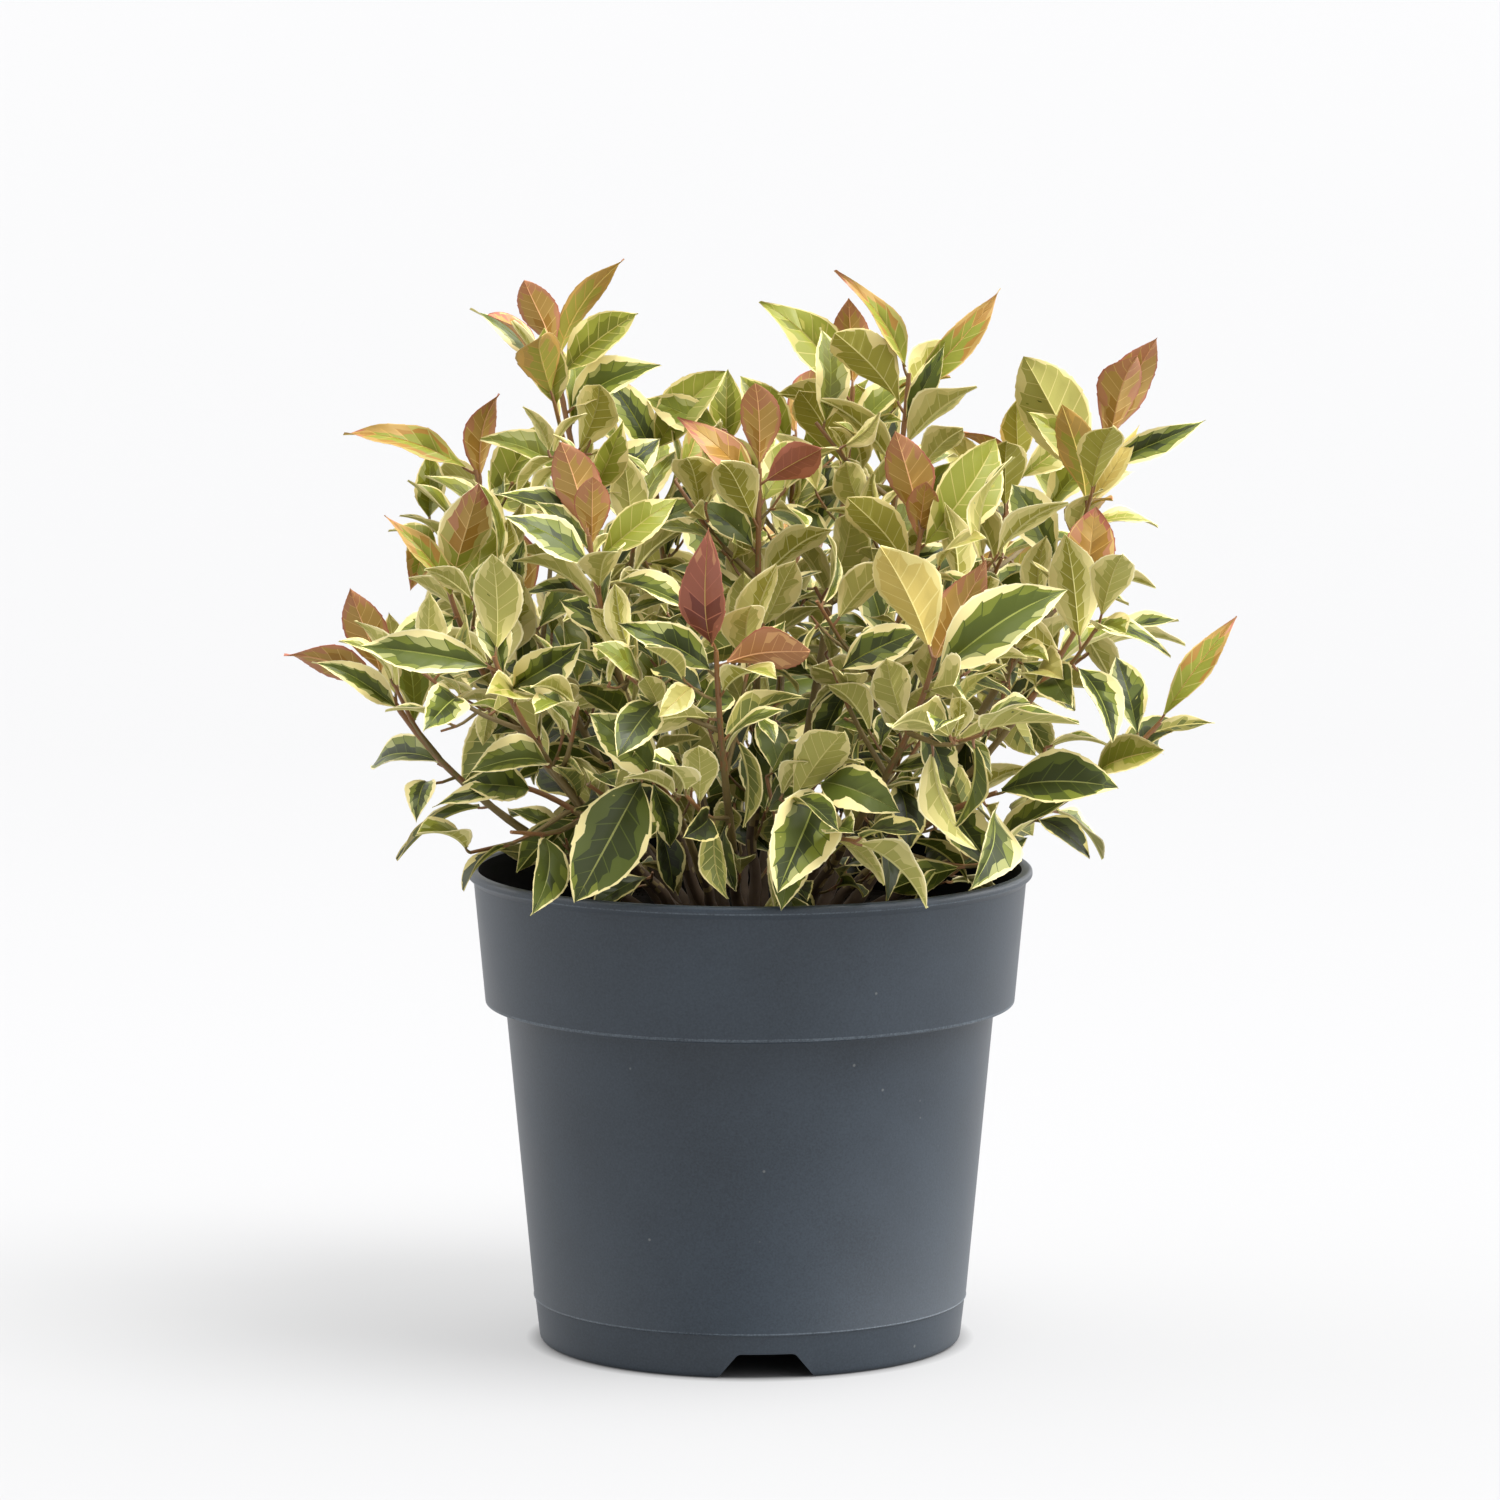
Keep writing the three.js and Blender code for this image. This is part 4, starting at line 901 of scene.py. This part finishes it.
def addStems(name, own, grown):
    rng = np.random.default_rng([own, 43])
    pointAt, length = curves[own]
    count = int(length / bark["ring"])
    share = np.linspace(0, 1, count + 1)
    points = pointAt(share)
    points[0, 2] -= bark["sunk"]
    bare = shoots[own][3]
    along = np.clip(share / bare, 0, 1)  # boughs sway a little on their way up
    for axis in (0, 1):
        turns, phase = mix(*bark["swayTurns"], rng.random()), rng.random()
        points[:, axis] += bark["sway"] * np.sin(np.pi * along) * np.sin(2 * np.pi * (turns * along + phase))
    girth = np.where(share < bare, mix(habit["footGirth"], habit["forkGirth"], share / bare),
                     mix(habit["forkGirth"], habit["tipGirth"], (share - bare) / (1 - bare)))
    travelled = share * length
    node = np.abs((travelled + bark["nodeShift"]) % bark["nodeSpacing"] - bark["nodeSpacing"] / 2)
    girth = bark["slim"] * girth * (1 + bark["node"] * np.exp(-(node / bark["nodeWidth"]) ** 2))
    furrow = rng.normal(size=(count + 1, bark["sides"]))
    for _ in range(3):  # furrows run along the stem
        furrow = (furrow + np.roll(furrow, 1, 0) + np.roll(furrow, -1, 0)) / 3
    worn = 1 - bark["furrowLoss"] * share[:, None]
    radii = girth[:, None] * (1 + bark["furrow"] * worn * furrow / furrow.std())
    routes = [(points, radii, bark["sides"], share)]
    for route, first, last in grown["twigs"]:
        rings = bark["twigRings"]
        steps = np.linspace(0, len(route) - 1, rings)
        bent = np.array([np.interp(steps, np.arange(len(route)), route[:, axis]) for axis in range(3)]).T
        ages = np.linspace(*bark["twigAges"], rings)
        routes.append((bent, np.linspace(first, last, rings), bark["twigSides"], ages))
    for leaf in grown["leaves"]:
        rings = bark["stalkRings"]
        u = np.linspace(0, blade["petiole"] * bark["stalkReach"], rings)
        lift = (leaf["length"] * habit["arch"] * 4 * u * (1 - u) - bark["stalkSunk"]) * u / u[-1]
        stalk = leaf["root"] + (leaf["length"] * u)[:, None] * leaf["along"] + lift[:, None] * leaf["face"]
        ages = np.full(rings, mix(*bark["stalkAges"], rng.random()))
        routes.append((stalk, np.linspace(*bark["stalk"], rings), bark["stalkSides"], ages))
    allPoints, allFaces, indices, start = [], [], [], 0
    for line, radius, sides, ages in routes:
        made, faces = tube(line, radius, sides)
        allPoints.append(made)
        allFaces += [[corner + start for corner in face] for face in faces]
        start += len(made)
        ring = np.repeat(np.arange(len(line) - 1), sides)
        worn = ages[ring] + bark["patches"] * (rng.random(len(ring)) - 0.5)
        kinds = (worn > bark["tanFrom"]).astype(int) + (worn > bark["redFrom"])
        indices += kinds.tolist() + [int(kinds[0]), int(kinds[-1])]
    piece = addPiece("stems_" + name, np.concatenate(allPoints), allFaces, barkMaterials, indices, 60)
    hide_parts("bough_" + name)
    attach(piece, "root")


for own, (name, *rest) in enumerate(shoots):
    addLeaves(name, masses[own]["leaves"], own)
    addStems(name, own, masses[own])
dressed = [piece for piece in bpy.data.objects if piece.name.startswith(("leaves_", "stems_"))]
print("leaves and stems:", sum(len(piece.data.polygons) for piece in dressed), "faces")


# Pot: polypropylene, coloured in the mass and injection-moulded. A fine spark-eroded mould gives it a
# satin grain, drawn coarser than life so that it shows. Its edges are lighter, partly from handling wear
# and partly as a painted highlight, and the inside is painted near-black as shade.
pot = {
    "segments": 180, "wall": 1.6, "rimRadius": 95, "rimHeight": 160.8, "beadDepth": 4.4, "beadSlant": 2,
    "beadProud": 2.1, "bandFootRadius": 89.1, "bandFoot": 115.4, "bandEdge": 0.5, "shoulderRadius": 82.3,
    "shoulder": 114.3, "shoulderRound": 1.5, "seamRadius": 73.1, "seamHeight": 14.7, "seamStep": 0.4,
    "burr": 0.15, "footRadius": 71, "footRound": 2.2, "ringInner": 65.4, "floorUnder": 8,
    "floorThickness": 1.8,
}
# Of these colours, inside is painted shade for the inner wall, and worn is partly wear and partly a painted
# highlight on the edges
potSkin = {
    "ior": 1.49, "grain": 0.7, "cloud": 33.3, "fleckSpacing": 14.3, "satin": (0.36, 0.5), "matt": (0.8, 0.95),
    "colours": ("#202932", "#2d3741"), "dust": "#9a9c98", "worn": "#525c65", "inside": "#0b0c0d",
    "insideSheen": 0.15,
}
notches = {"count": 3, "turn": -85.6, "height": 8.4, "top": 19, "foot": 32, "round": 2.6}
drains = {"count": 6, "radius": 5, "circle": 48, "sides": 24}


def rounded(corners, steps=5):  # an outline whose corners, given with a radius, are rounded by arcs
    outline = []
    for i, (x, z, radius) in enumerate(corners):
        here = np.array([x, z], float)
        if radius == 0:
            outline.append(here)
            continue
        before = unit(np.array(corners[i - 1][:2], float) - here)
        after = unit(np.array(corners[(i + 1) % len(corners)][:2], float) - here)
        halfAngle = math.acos(np.clip(before @ after, -1, 1)) / 2
        centre = here + unit(before + after) * radius / math.sin(halfAngle)
        reach = radius / math.tan(halfAngle)
        first, last = here + before * reach - centre, here + after * reach - centre
        sweep = math.atan2(first[0] * last[1] - first[1] * last[0], first @ last)
        for k in range(steps + 1):
            a = sweep * k / steps
            outline.append(centre + np.array([first[0] * math.cos(a) - first[1] * math.sin(a),
                                              first[0] * math.sin(a) + first[1] * math.cos(a)]))
    return np.array(outline)


def lathe(outline, segments):  # the outline starts and ends on the axis
    turns = 2 * np.pi * np.arange(segments) / segments
    inner = outline[1:-1]
    rings = np.stack([inner[:, :1] * np.cos(turns), inner[:, :1] * np.sin(turns),
                      np.repeat(inner[:, 1:], segments, 1)], axis=2).reshape(-1, 3)
    points = np.vstack([rings, [0, 0, outline[0][1]], [0, 0, outline[-1][1]]])
    faces = wallFaces(segments, len(inner))
    faces += [face[::-1] for face in fanFaces(segments, 0, len(rings))]
    faces += fanFaces(segments, segments * (len(inner) - 1), len(rings) + 1)
    return points, faces


def potOutline():
    p = pot
    bandTop = p["rimRadius"] - p["beadProud"]
    beadFoot = p["rimHeight"] - p["beadDepth"]
    floorTop = p["floorUnder"] + p["floorThickness"]
    return rounded([
        (0, p["floorUnder"], 0),
        (p["ringInner"] - 0.6, p["floorUnder"], 1),
        (p["ringInner"], 0, 0.4),
        (p["footRadius"], 0, p["footRound"]),
        (p["seamRadius"] - p["seamStep"], p["seamHeight"], 0),
        (p["seamRadius"] + p["burr"], p["seamHeight"] + p["seamStep"], 0),
        (p["seamRadius"], p["seamHeight"] + 2 * p["seamStep"], 0),
        (p["shoulderRadius"], p["shoulder"], p["shoulderRound"]),
        (p["bandFootRadius"], p["bandFoot"], p["bandEdge"]),
        (mix(p["bandFootRadius"], bandTop, 0.025), mix(p["bandFoot"], beadFoot, 0.025), 0),
        (bandTop, beadFoot, 0.5),
        (p["rimRadius"], beadFoot + p["beadSlant"], 0.9),
        (p["rimRadius"], p["rimHeight"], 1.3),
        (bandTop - p["wall"], p["rimHeight"], 1),
        (bandTop - p["wall"], beadFoot, 0.5),
        (p["bandFootRadius"] - p["wall"], p["bandFoot"], 1),
        (p["shoulderRadius"] - p["wall"], p["shoulder"], 1),
        (p["seamRadius"] - p["wall"], p["seamHeight"], 1),
        (p["footRadius"] - p["wall"] - 0.4, floorTop, 0.6),
        (0, floorTop, 0),
    ])


def addCutter(points, faces):
    cutter = addPiece("cutter", points, faces, [], np.zeros(len(faces)))
    cutter.hide_render = True
    return cutter


def notchCutter(turn):  # it starts under the ground and reaches past both sides of the foot ring
    width, foot, low = notches["top"] / 2, notches["foot"] / 2 + 1, -1
    outline = rounded([(-foot, low, 0), (foot, low, 0), (width, notches["height"], notches["round"]),
                       (-width, notches["height"], notches["round"])])
    count = len(outline)
    inner, outer = pot["ringInner"] - 8, pot["footRadius"] + 10
    points = np.concatenate([np.column_stack([outline[:, 0], np.full(count, -y), outline[:, 1]])
                             for y in (inner, outer)])
    a = math.radians(turn + 90)
    points[:, :2] = points[:, :2] @ np.array([[math.cos(a), math.sin(a)], [-math.sin(a), math.cos(a)]])
    ends = [list(range(count))[::-1], list(range(count, 2 * count))]
    return addCutter(points, wallFaces(count, 2) + ends)


def drainCutter(turn):
    low, high = pot["floorUnder"] - 4, pot["floorUnder"] + 6
    points = np.array([[0, 0, low], [0, 0, high]]) + drains["circle"] * heading(turn, 0)
    made, faces = tube(points, [drains["radius"]] * 2, drains["sides"])
    return addCutter(made, faces)


def potParts(outline):  # for each ring of faces: 0 the moulded outside, 1 worn edges and painted highlight, 2 the inside in painted shade
    radius, height = ((outline[1:-2] + outline[2:-1]) / 2).T
    beadFoot = pot["rimHeight"] - pot["beadDepth"] + pot["beadSlant"]
    seam = pot["seamHeight"] + pot["seamStep"]
    # these edges are lighter, partly from wear and partly as a painted highlight where they catch light
    # the small numbers take in the narrow faces round each edge
    worn = (radius > pot["bandFootRadius"] - 0.8) & (np.abs(height - pot["bandFoot"] - 0.4) < 0.7)
    worn |= (radius > pot["rimRadius"] - 0.6) & (height < beadFoot + 0.2)
    worn |= (radius > pot["seamRadius"] - 0.3) & (np.abs(height - seam) < 0.5)
    # the inside gets a near-black colour as painted shade
    inside = np.arange(len(radius)) > np.argmax(height) + 4
    return np.where(inside, 2, worn.astype(int))


def addPot():
    outline = potOutline()
    points, faces = lathe(outline, pot["segments"])
    parts = np.repeat(np.append(potParts(outline), [0, 2]), pot["segments"])
    # the inside's near-black material is painted shade, and the worn edges are partly painted highlight
    satin, insideShade = potSkin["satin"], potSkin["inside"]
    materials = [potMaterial("polypropylene_injection_moulded", *potSkin["colours"], satin),
                 potMaterial("polypropylene_worn_edge_painted_highlight", potSkin["colours"][0], potSkin["worn"], satin),
                 potMaterial("polypropylene_inside_painted_shade", insideShade, insideShade, potSkin["matt"])]
    shader = materials[2].node_tree.nodes["Principled BSDF"]
    shader.inputs["Specular IOR Level"].default_value = potSkin["insideSheen"]
    piece = addPiece("nursery_pot", points, faces, materials, parts, 30)
    cutters = [notchCutter(notches["turn"] + 360 * i / notches["count"]) for i in range(notches["count"])]
    cutters += [drainCutter(notches["turn"] + 360 * (i + 0.5) / drains["count"])
                for i in range(drains["count"])]
    for cutter in cutters:
        cut = piece.modifiers.new("cut", "BOOLEAN")
        cut.object, cut.operation, cut.solver = cutter, "DIFFERENCE", "EXACT"
    bpy.context.view_layer.update()
    carved = bpy.data.meshes.new_from_object(piece.evaluated_get(bpy.context.evaluated_depsgraph_get()))
    piece.modifiers.clear()
    piece.data = carved
    carved.set_sharp_from_angle(angle=math.radians(30))
    for cutter in cutters:
        bpy.data.objects.remove(cutter)
    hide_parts("pot")
    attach(piece, "root")
    print("pot:", len(carved.polygons), "faces")


def potMaterial(name, dark, light, roughness):
    material, tree, shader, place = newMaterial(name, dark, potSkin["ior"])
    grain = addNode(tree, "ShaderNodeTexNoise", {"Scale": 1 / (potSkin["grain"] * mm), "Detail": 2},
                    [("Vector", place, "Object")])
    cloud = addNode(tree, "ShaderNodeTexNoise", {"Scale": 1 / (potSkin["cloud"] * mm), "Detail": 4},
                    [("Vector", place, "Object")])
    mottle = addNode(tree, "ShaderNodeMath", {"operation": "MULTIPLY_ADD", 1: 1.4},
                     [(0, grain, "Fac"), (2, cloud, "Fac")])
    share = addNode(tree, "ShaderNodeMapRange", {"From Min": 0.8, "From Max": 1.6},
                    [("Value", mottle, "Value")])
    tone = addNode(tree, "ShaderNodeMix", {"data_type": "RGBA", mixLow: rgba(dark), mixHigh: rgba(light)},
                   [("Factor", share, "Result")])
    dust = addNode(tree, "ShaderNodeTexVoronoi", {"Scale": 1 / (potSkin["fleckSpacing"] * mm)},
                   [("Vector", place, "Object")])
    fleck = addNode(tree, "ShaderNodeMapRange", {"From Min": 0.045, "From Max": 0.025, "To Max": 0.26},
                    [("Value", dust, "Distance")])
    dusty = addNode(tree, "ShaderNodeMix", {"data_type": "RGBA", mixHigh: rgba(potSkin["dust"])},
                    [("Factor", fleck, "Result"), (mixLow, tone, mixOut)])
    gloss = addNode(tree, "ShaderNodeMapRange", {"To Min": roughness[0], "To Max": roughness[1]},
                    [("Value", cloud, "Fac")])
    bump = addNode(tree, "ShaderNodeBump", {"Strength": 0.4, "Distance": 0.05 * mm},
                   [("Height", grain, "Fac")])
    tree.links.new(dusty.outputs[mixOut], shader.inputs["Base Color"])
    tree.links.new(gloss.outputs["Result"], shader.inputs["Roughness"])
    tree.links.new(bump.outputs["Normal"], shader.inputs["Normal"])
    return material


addPot()


# Soil: damp peat with crumbs and bits of pine bark. Peat is dark, and its colours are painted darker
# still as shade, so it looks almost black
soil = {
    "top": 142.4, "radius": 90.2, "rings": 44, "ringCurve": 0.8, "spokes": 150, "lump": 0.9, "lumps": 9,
    "lumpSizes": (34, 3), "grit": 0.3, "dip": 1.2, "dipFrom": 60, "dipWidth": 30, "shoulderGap": 3,
    "footGap": 4, "floorGap": 1, "ior": 1.4, "roughness": 0.95, "sheen": 0.15, "grain": 1.667,
    # the peat's colours are partly its own dark and partly painted shade
    "peatColours": ("#0d0a07", "#1c1510"), "barkColours": ("#2a1a10", "#3f2b1e"),
}
# The loose crumbs and bits of bark on top: how many, their sizes in mm, their height over their size, and
# how they vary
bits = {
    "crumbs": 520, "crumbSizes": (0.8, 2.2), "crumbHeight": 0.75, "bark": 90, "barkSizes": (2.5, 7),
    "barkHeight": 0.3, "smaller": 1.6, "widths": (0.4, 0.8), "uneven": (0.8, 1.2), "tilt": 0.5, "inset": 3,
    "lift": 0.5,
}


def peatLumps(x, y, rng):  # waves of many lengths that cross each other
    height = np.zeros_like(x)
    for k in range(soil["lumps"]):
        span = mix(*soil["lumpSizes"], k / (soil["lumps"] - 1))
        a, phase = rng.random(2) * 2 * np.pi
        b = a + 1.3
        height += span * np.sin(2 * np.pi * (x * math.cos(a) + y * math.sin(a)) / span + phase) \
            * np.sin(2 * np.pi * (x * math.cos(b) + y * math.sin(b)) / (span * 1.3) + phase)
    return height / np.abs(height).max()


def addSoil():
    rng = np.random.default_rng(5)
    radius = soil["radius"] * (np.arange(1, soil["rings"] + 1) / soil["rings"]) ** soil["ringCurve"]
    turns = 2 * np.pi * np.arange(soil["spokes"]) / soil["spokes"]
    x, y = radius[:, None] * np.cos(turns), radius[:, None] * np.sin(turns)
    height = soil["top"] + soil["lump"] * peatLumps(x, y, rng) + soil["grit"] * rng.normal(size=x.shape)
    height -= soil["dip"] * np.clip((radius[:, None] - soil["dipFrom"]) / soil["dipWidth"], 0, 1)
    low = pot["floorUnder"] + pot["floorThickness"] + soil["floorGap"]
    outline = [(pot["shoulderRadius"] - soil["shoulderGap"], pot["shoulder"]),
               (pot["footRadius"] - soil["footGap"], low)]
    rings = [np.stack([x, y, height], 2).reshape(-1, 3)]
    for r, z in outline:
        rings.append(np.column_stack([r * np.cos(turns), r * np.sin(turns), np.full(len(turns), z)]))
    points = np.concatenate(rings + [[[0, 0, soil["top"]], [0, 0, low]]])
    spokes, count = soil["spokes"], soil["rings"] + 2
    middle = spokes * count
    faces = [face[::-1] for face in wallFaces(spokes, count)] + fanFaces(spokes, 0, middle)
    faces += [face[::-1] for face in fanFaces(spokes, spokes * (count - 1), middle + 1)]
    peat = soilMaterial("damp_peat", *soil["peatColours"])
    pineBark = soilMaterial("pine_bark", *soil["barkColours"])
    piece = addPiece("peat", points, faces, [peat], np.zeros(len(faces)), 60)
    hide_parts("soil")
    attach(piece, "root")
    addBits("peat_crumbs", bits["crumbs"], bits["crumbSizes"], bits["crumbHeight"], peat, rng)
    addBits("bark_bits", bits["bark"], bits["barkSizes"], bits["barkHeight"], pineBark, rng)


def addBits(name, count, sizes, flatness, material, rng):  # lumps of six corners, each turned its own way
    corners = np.array([[1, 0, 0], [-1, 0, 0], [0, 1, 0], [0, -1, 0], [0, 0, 1], [0, 0, -1]], float)
    sides = np.array([[0, 2, 4], [2, 1, 4], [1, 3, 4], [3, 0, 4], [2, 0, 5], [1, 2, 5], [3, 1, 5], [0, 3, 5]])
    points, faces = [], []
    for i in range(count):
        size = mix(*sizes, rng.random() ** bits["smaller"])
        shape = corners * np.array([1, mix(*bits["widths"], rng.random()), flatness]) * size / 2
        shape = shape * mix(*bits["uneven"], rng.random((6, 1)))
        a, tilt = rng.random() * 2 * np.pi, bits["tilt"] * rng.normal()
        turn = np.array([[math.cos(a), -math.sin(a), 0], [math.sin(a), math.cos(a), 0], [0, 0, 1]])
        lean = np.array([[1, 0, 0], [0, math.cos(tilt), -math.sin(tilt)],
                         [0, math.sin(tilt), math.cos(tilt)]])
        reach, way = (soil["radius"] - bits["inset"]) * math.sqrt(rng.random()), rng.random() * 2 * np.pi
        rest = soil["top"] + bits["lift"]
        rest -= soil["dip"] * max(0, (reach - soil["dipFrom"]) / soil["dipWidth"])
        points.append(shape @ lean.T @ turn.T + [reach * math.cos(way), reach * math.sin(way), rest])
        faces += (sides + 6 * i).tolist()
    piece = addPiece(name, np.concatenate(points), faces, [material], np.zeros(len(faces)), 30)
    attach(piece, "root")


def soilMaterial(name, dark, light):
    material, tree, shader, place = newMaterial(name, light, soil["ior"])
    shader.inputs["Roughness"].default_value = soil["roughness"]
    shader.inputs["Specular IOR Level"].default_value = soil["sheen"]
    crumb = addNode(tree, "ShaderNodeTexNoise",
                    {"Scale": 1 / (soil["grain"] * mm), "Detail": 6, "Roughness": 0.7},
                    [("Vector", place, "Object")])
    tone = addNode(tree, "ShaderNodeMix", {"data_type": "RGBA", mixLow: rgba(dark), mixHigh: rgba(light)},
                   [("Factor", crumb, "Fac")])
    bump = addNode(tree, "ShaderNodeBump", {"Strength": 0.8, "Distance": 0.6 * mm},
                   [("Height", crumb, "Fac")])
    tree.links.new(tone.outputs[mixOut], shader.inputs["Base Color"])
    tree.links.new(bump.outputs["Normal"], shader.inputs["Normal"])
    return material


addSoil()
print("soil done")


# Stage: a pale floor that glows with painted light outside the disc that the pot stands on, so that the
# pot's shadow stays soft and the floor is nearly white. The painted glow fades with distance.
stage = {"floorSize": 60000, "floorColour": "#727273", "ior": 1.4, "roughness": 0.9, "floorGlow": 0.465,
         "farGlow": 0.89, "discRadius": (68, 76), "fadeRadius": (180, 1600)}


def addStage():
    half = stage["floorSize"] / 2 * mm
    mesh = bpy.data.meshes.new("floor")
    corners = [(-half, -half, 0), (half, -half, 0), (half, half, 0), (-half, half, 0)]
    mesh.from_pydata(corners, [], [(0, 1, 2, 3)])
    material, tree, shader, place = newMaterial("pale_floor_painted_glow", stage["floorColour"], stage["ior"])
    shader.inputs["Roughness"].default_value = stage["roughness"]
    # the floor's emission is painted light, not a lamp, and lifts its shadows
    shader.inputs["Emission Color"].default_value = (1, 1, 1, 1)
    flat = addNode(tree, "ShaderNodeVectorMath", {"operation": "MULTIPLY", 1: (1, 1, 0)},
                   [(0, place, "Object")])
    apart = addNode(tree, "ShaderNodeVectorMath", {"operation": "DISTANCE", 1: (potAxis.x, potAxis.y, 0)},
                    [(0, flat, "Vector")])
    (low, high), (near, far) = stage["discRadius"], stage["fadeRadius"]
    glow = addNode(tree, "ShaderNodeMapRange",
                   {"From Min": low * mm, "From Max": high * mm, "To Max": stage["floorGlow"]},
                   [("Value", apart, "Value")])
    fade = addNode(tree, "ShaderNodeMapRange",
                   {"From Min": near * mm, "From Max": far * mm, "To Min": 1, "To Max": stage["farGlow"]},
                   [("Value", apart, "Value")])
    light = addNode(tree, "ShaderNodeMath", {"operation": "MULTIPLY"},
                    [(0, glow, "Result"), (1, fade, "Result")])
    tree.links.new(light.outputs["Value"], shader.inputs["Emission Strength"])
    mesh.materials.append(material)
    floor = bpy.data.objects.new("floor", mesh)
    bpy.context.scene.collection.objects.link(floor)


# Studio: white walls, bright behind, brightest to the right and dimmer behind the camera. Each row is an
# axis, the heights on it where the light begins and stops to change, and its strength at both.
walls = (("Y", -1, -0.1, 0.42, 1.12), ("Z", 0.1, 0.8, 1, 1.1), ("X", 0.15, 0.85, 1, 3.1),
         ("X", -0.15, -0.85, 1, 1.15))


def addStudio():
    world = bpy.data.worlds.new("studio")
    bpy.context.scene.world = world
    world.use_nodes = True
    tree = world.node_tree
    background = tree.nodes["Background"]
    place = addNode(tree, "ShaderNodeTexCoord", {})
    split = addNode(tree, "ShaderNodeSeparateXYZ", {}, [("Vector", place, "Generated")])
    strength = None
    for axis, low, high, first, last in walls:
        share = addNode(tree, "ShaderNodeMapRange",
                        {"From Min": low, "From Max": high, "To Min": first, "To Max": last,
                         "interpolation_type": "SMOOTHSTEP"}, [("Value", split, axis)])
        if strength is None:
            strength = share.outputs["Result"]
            continue
        product = addNode(tree, "ShaderNodeMath", {"operation": "MULTIPLY"}, [(1, share, "Result")])
        tree.links.new(strength, product.inputs[0])
        strength = product.outputs["Value"]
    tree.links.new(strength, background.inputs["Strength"])
    background.inputs["Color"].default_value = (1, 1, 1, 1)


# Two wide soft lights, by azimuth and elevation, width of the light in degrees and power
softLights = {"key_right": ((-28, 64), 34, 3.6), "fill_left": ((165, 40), 60, 0.8)}


def addSoftLight(name, way, spread, power):
    lamp = bpy.data.lights.new(name, "SUN")
    lamp.angle, lamp.energy = math.radians(spread), power
    light = bpy.data.objects.new(name, lamp)
    light.rotation_mode = "QUATERNION"
    light.rotation_quaternion = mathutils.Vector(heading(*way)).to_track_quat("Z", "Y")
    bpy.context.scene.collection.objects.link(light)


# The camera's distance, height and tilt follow from the ellipse of the pot's rim and the pot's height
camera = {"distance": 2600, "height": 532.8, "tilt": 7.29, "lens": 187.4}


def addCamera():
    lens = bpy.data.cameras.new("camera")
    lens.lens, lens.sensor_width, lens.clip_end = camera["lens"], 36, 100
    holder = bpy.data.objects.new("camera", lens)
    holder.location = (potAxis.x, potAxis.y - camera["distance"] * mm, camera["height"] * mm)
    holder.rotation_euler = (math.radians(90 - camera["tilt"]), 0, 0)
    bpy.context.scene.collection.objects.link(holder)
    bpy.context.scene.camera = holder


addStage()
addStudio()
for name, facts in softLights.items():
    addSoftLight(name, *facts)
addCamera()
bpy.context.scene.view_settings.view_transform = "Standard"

print("scene done")
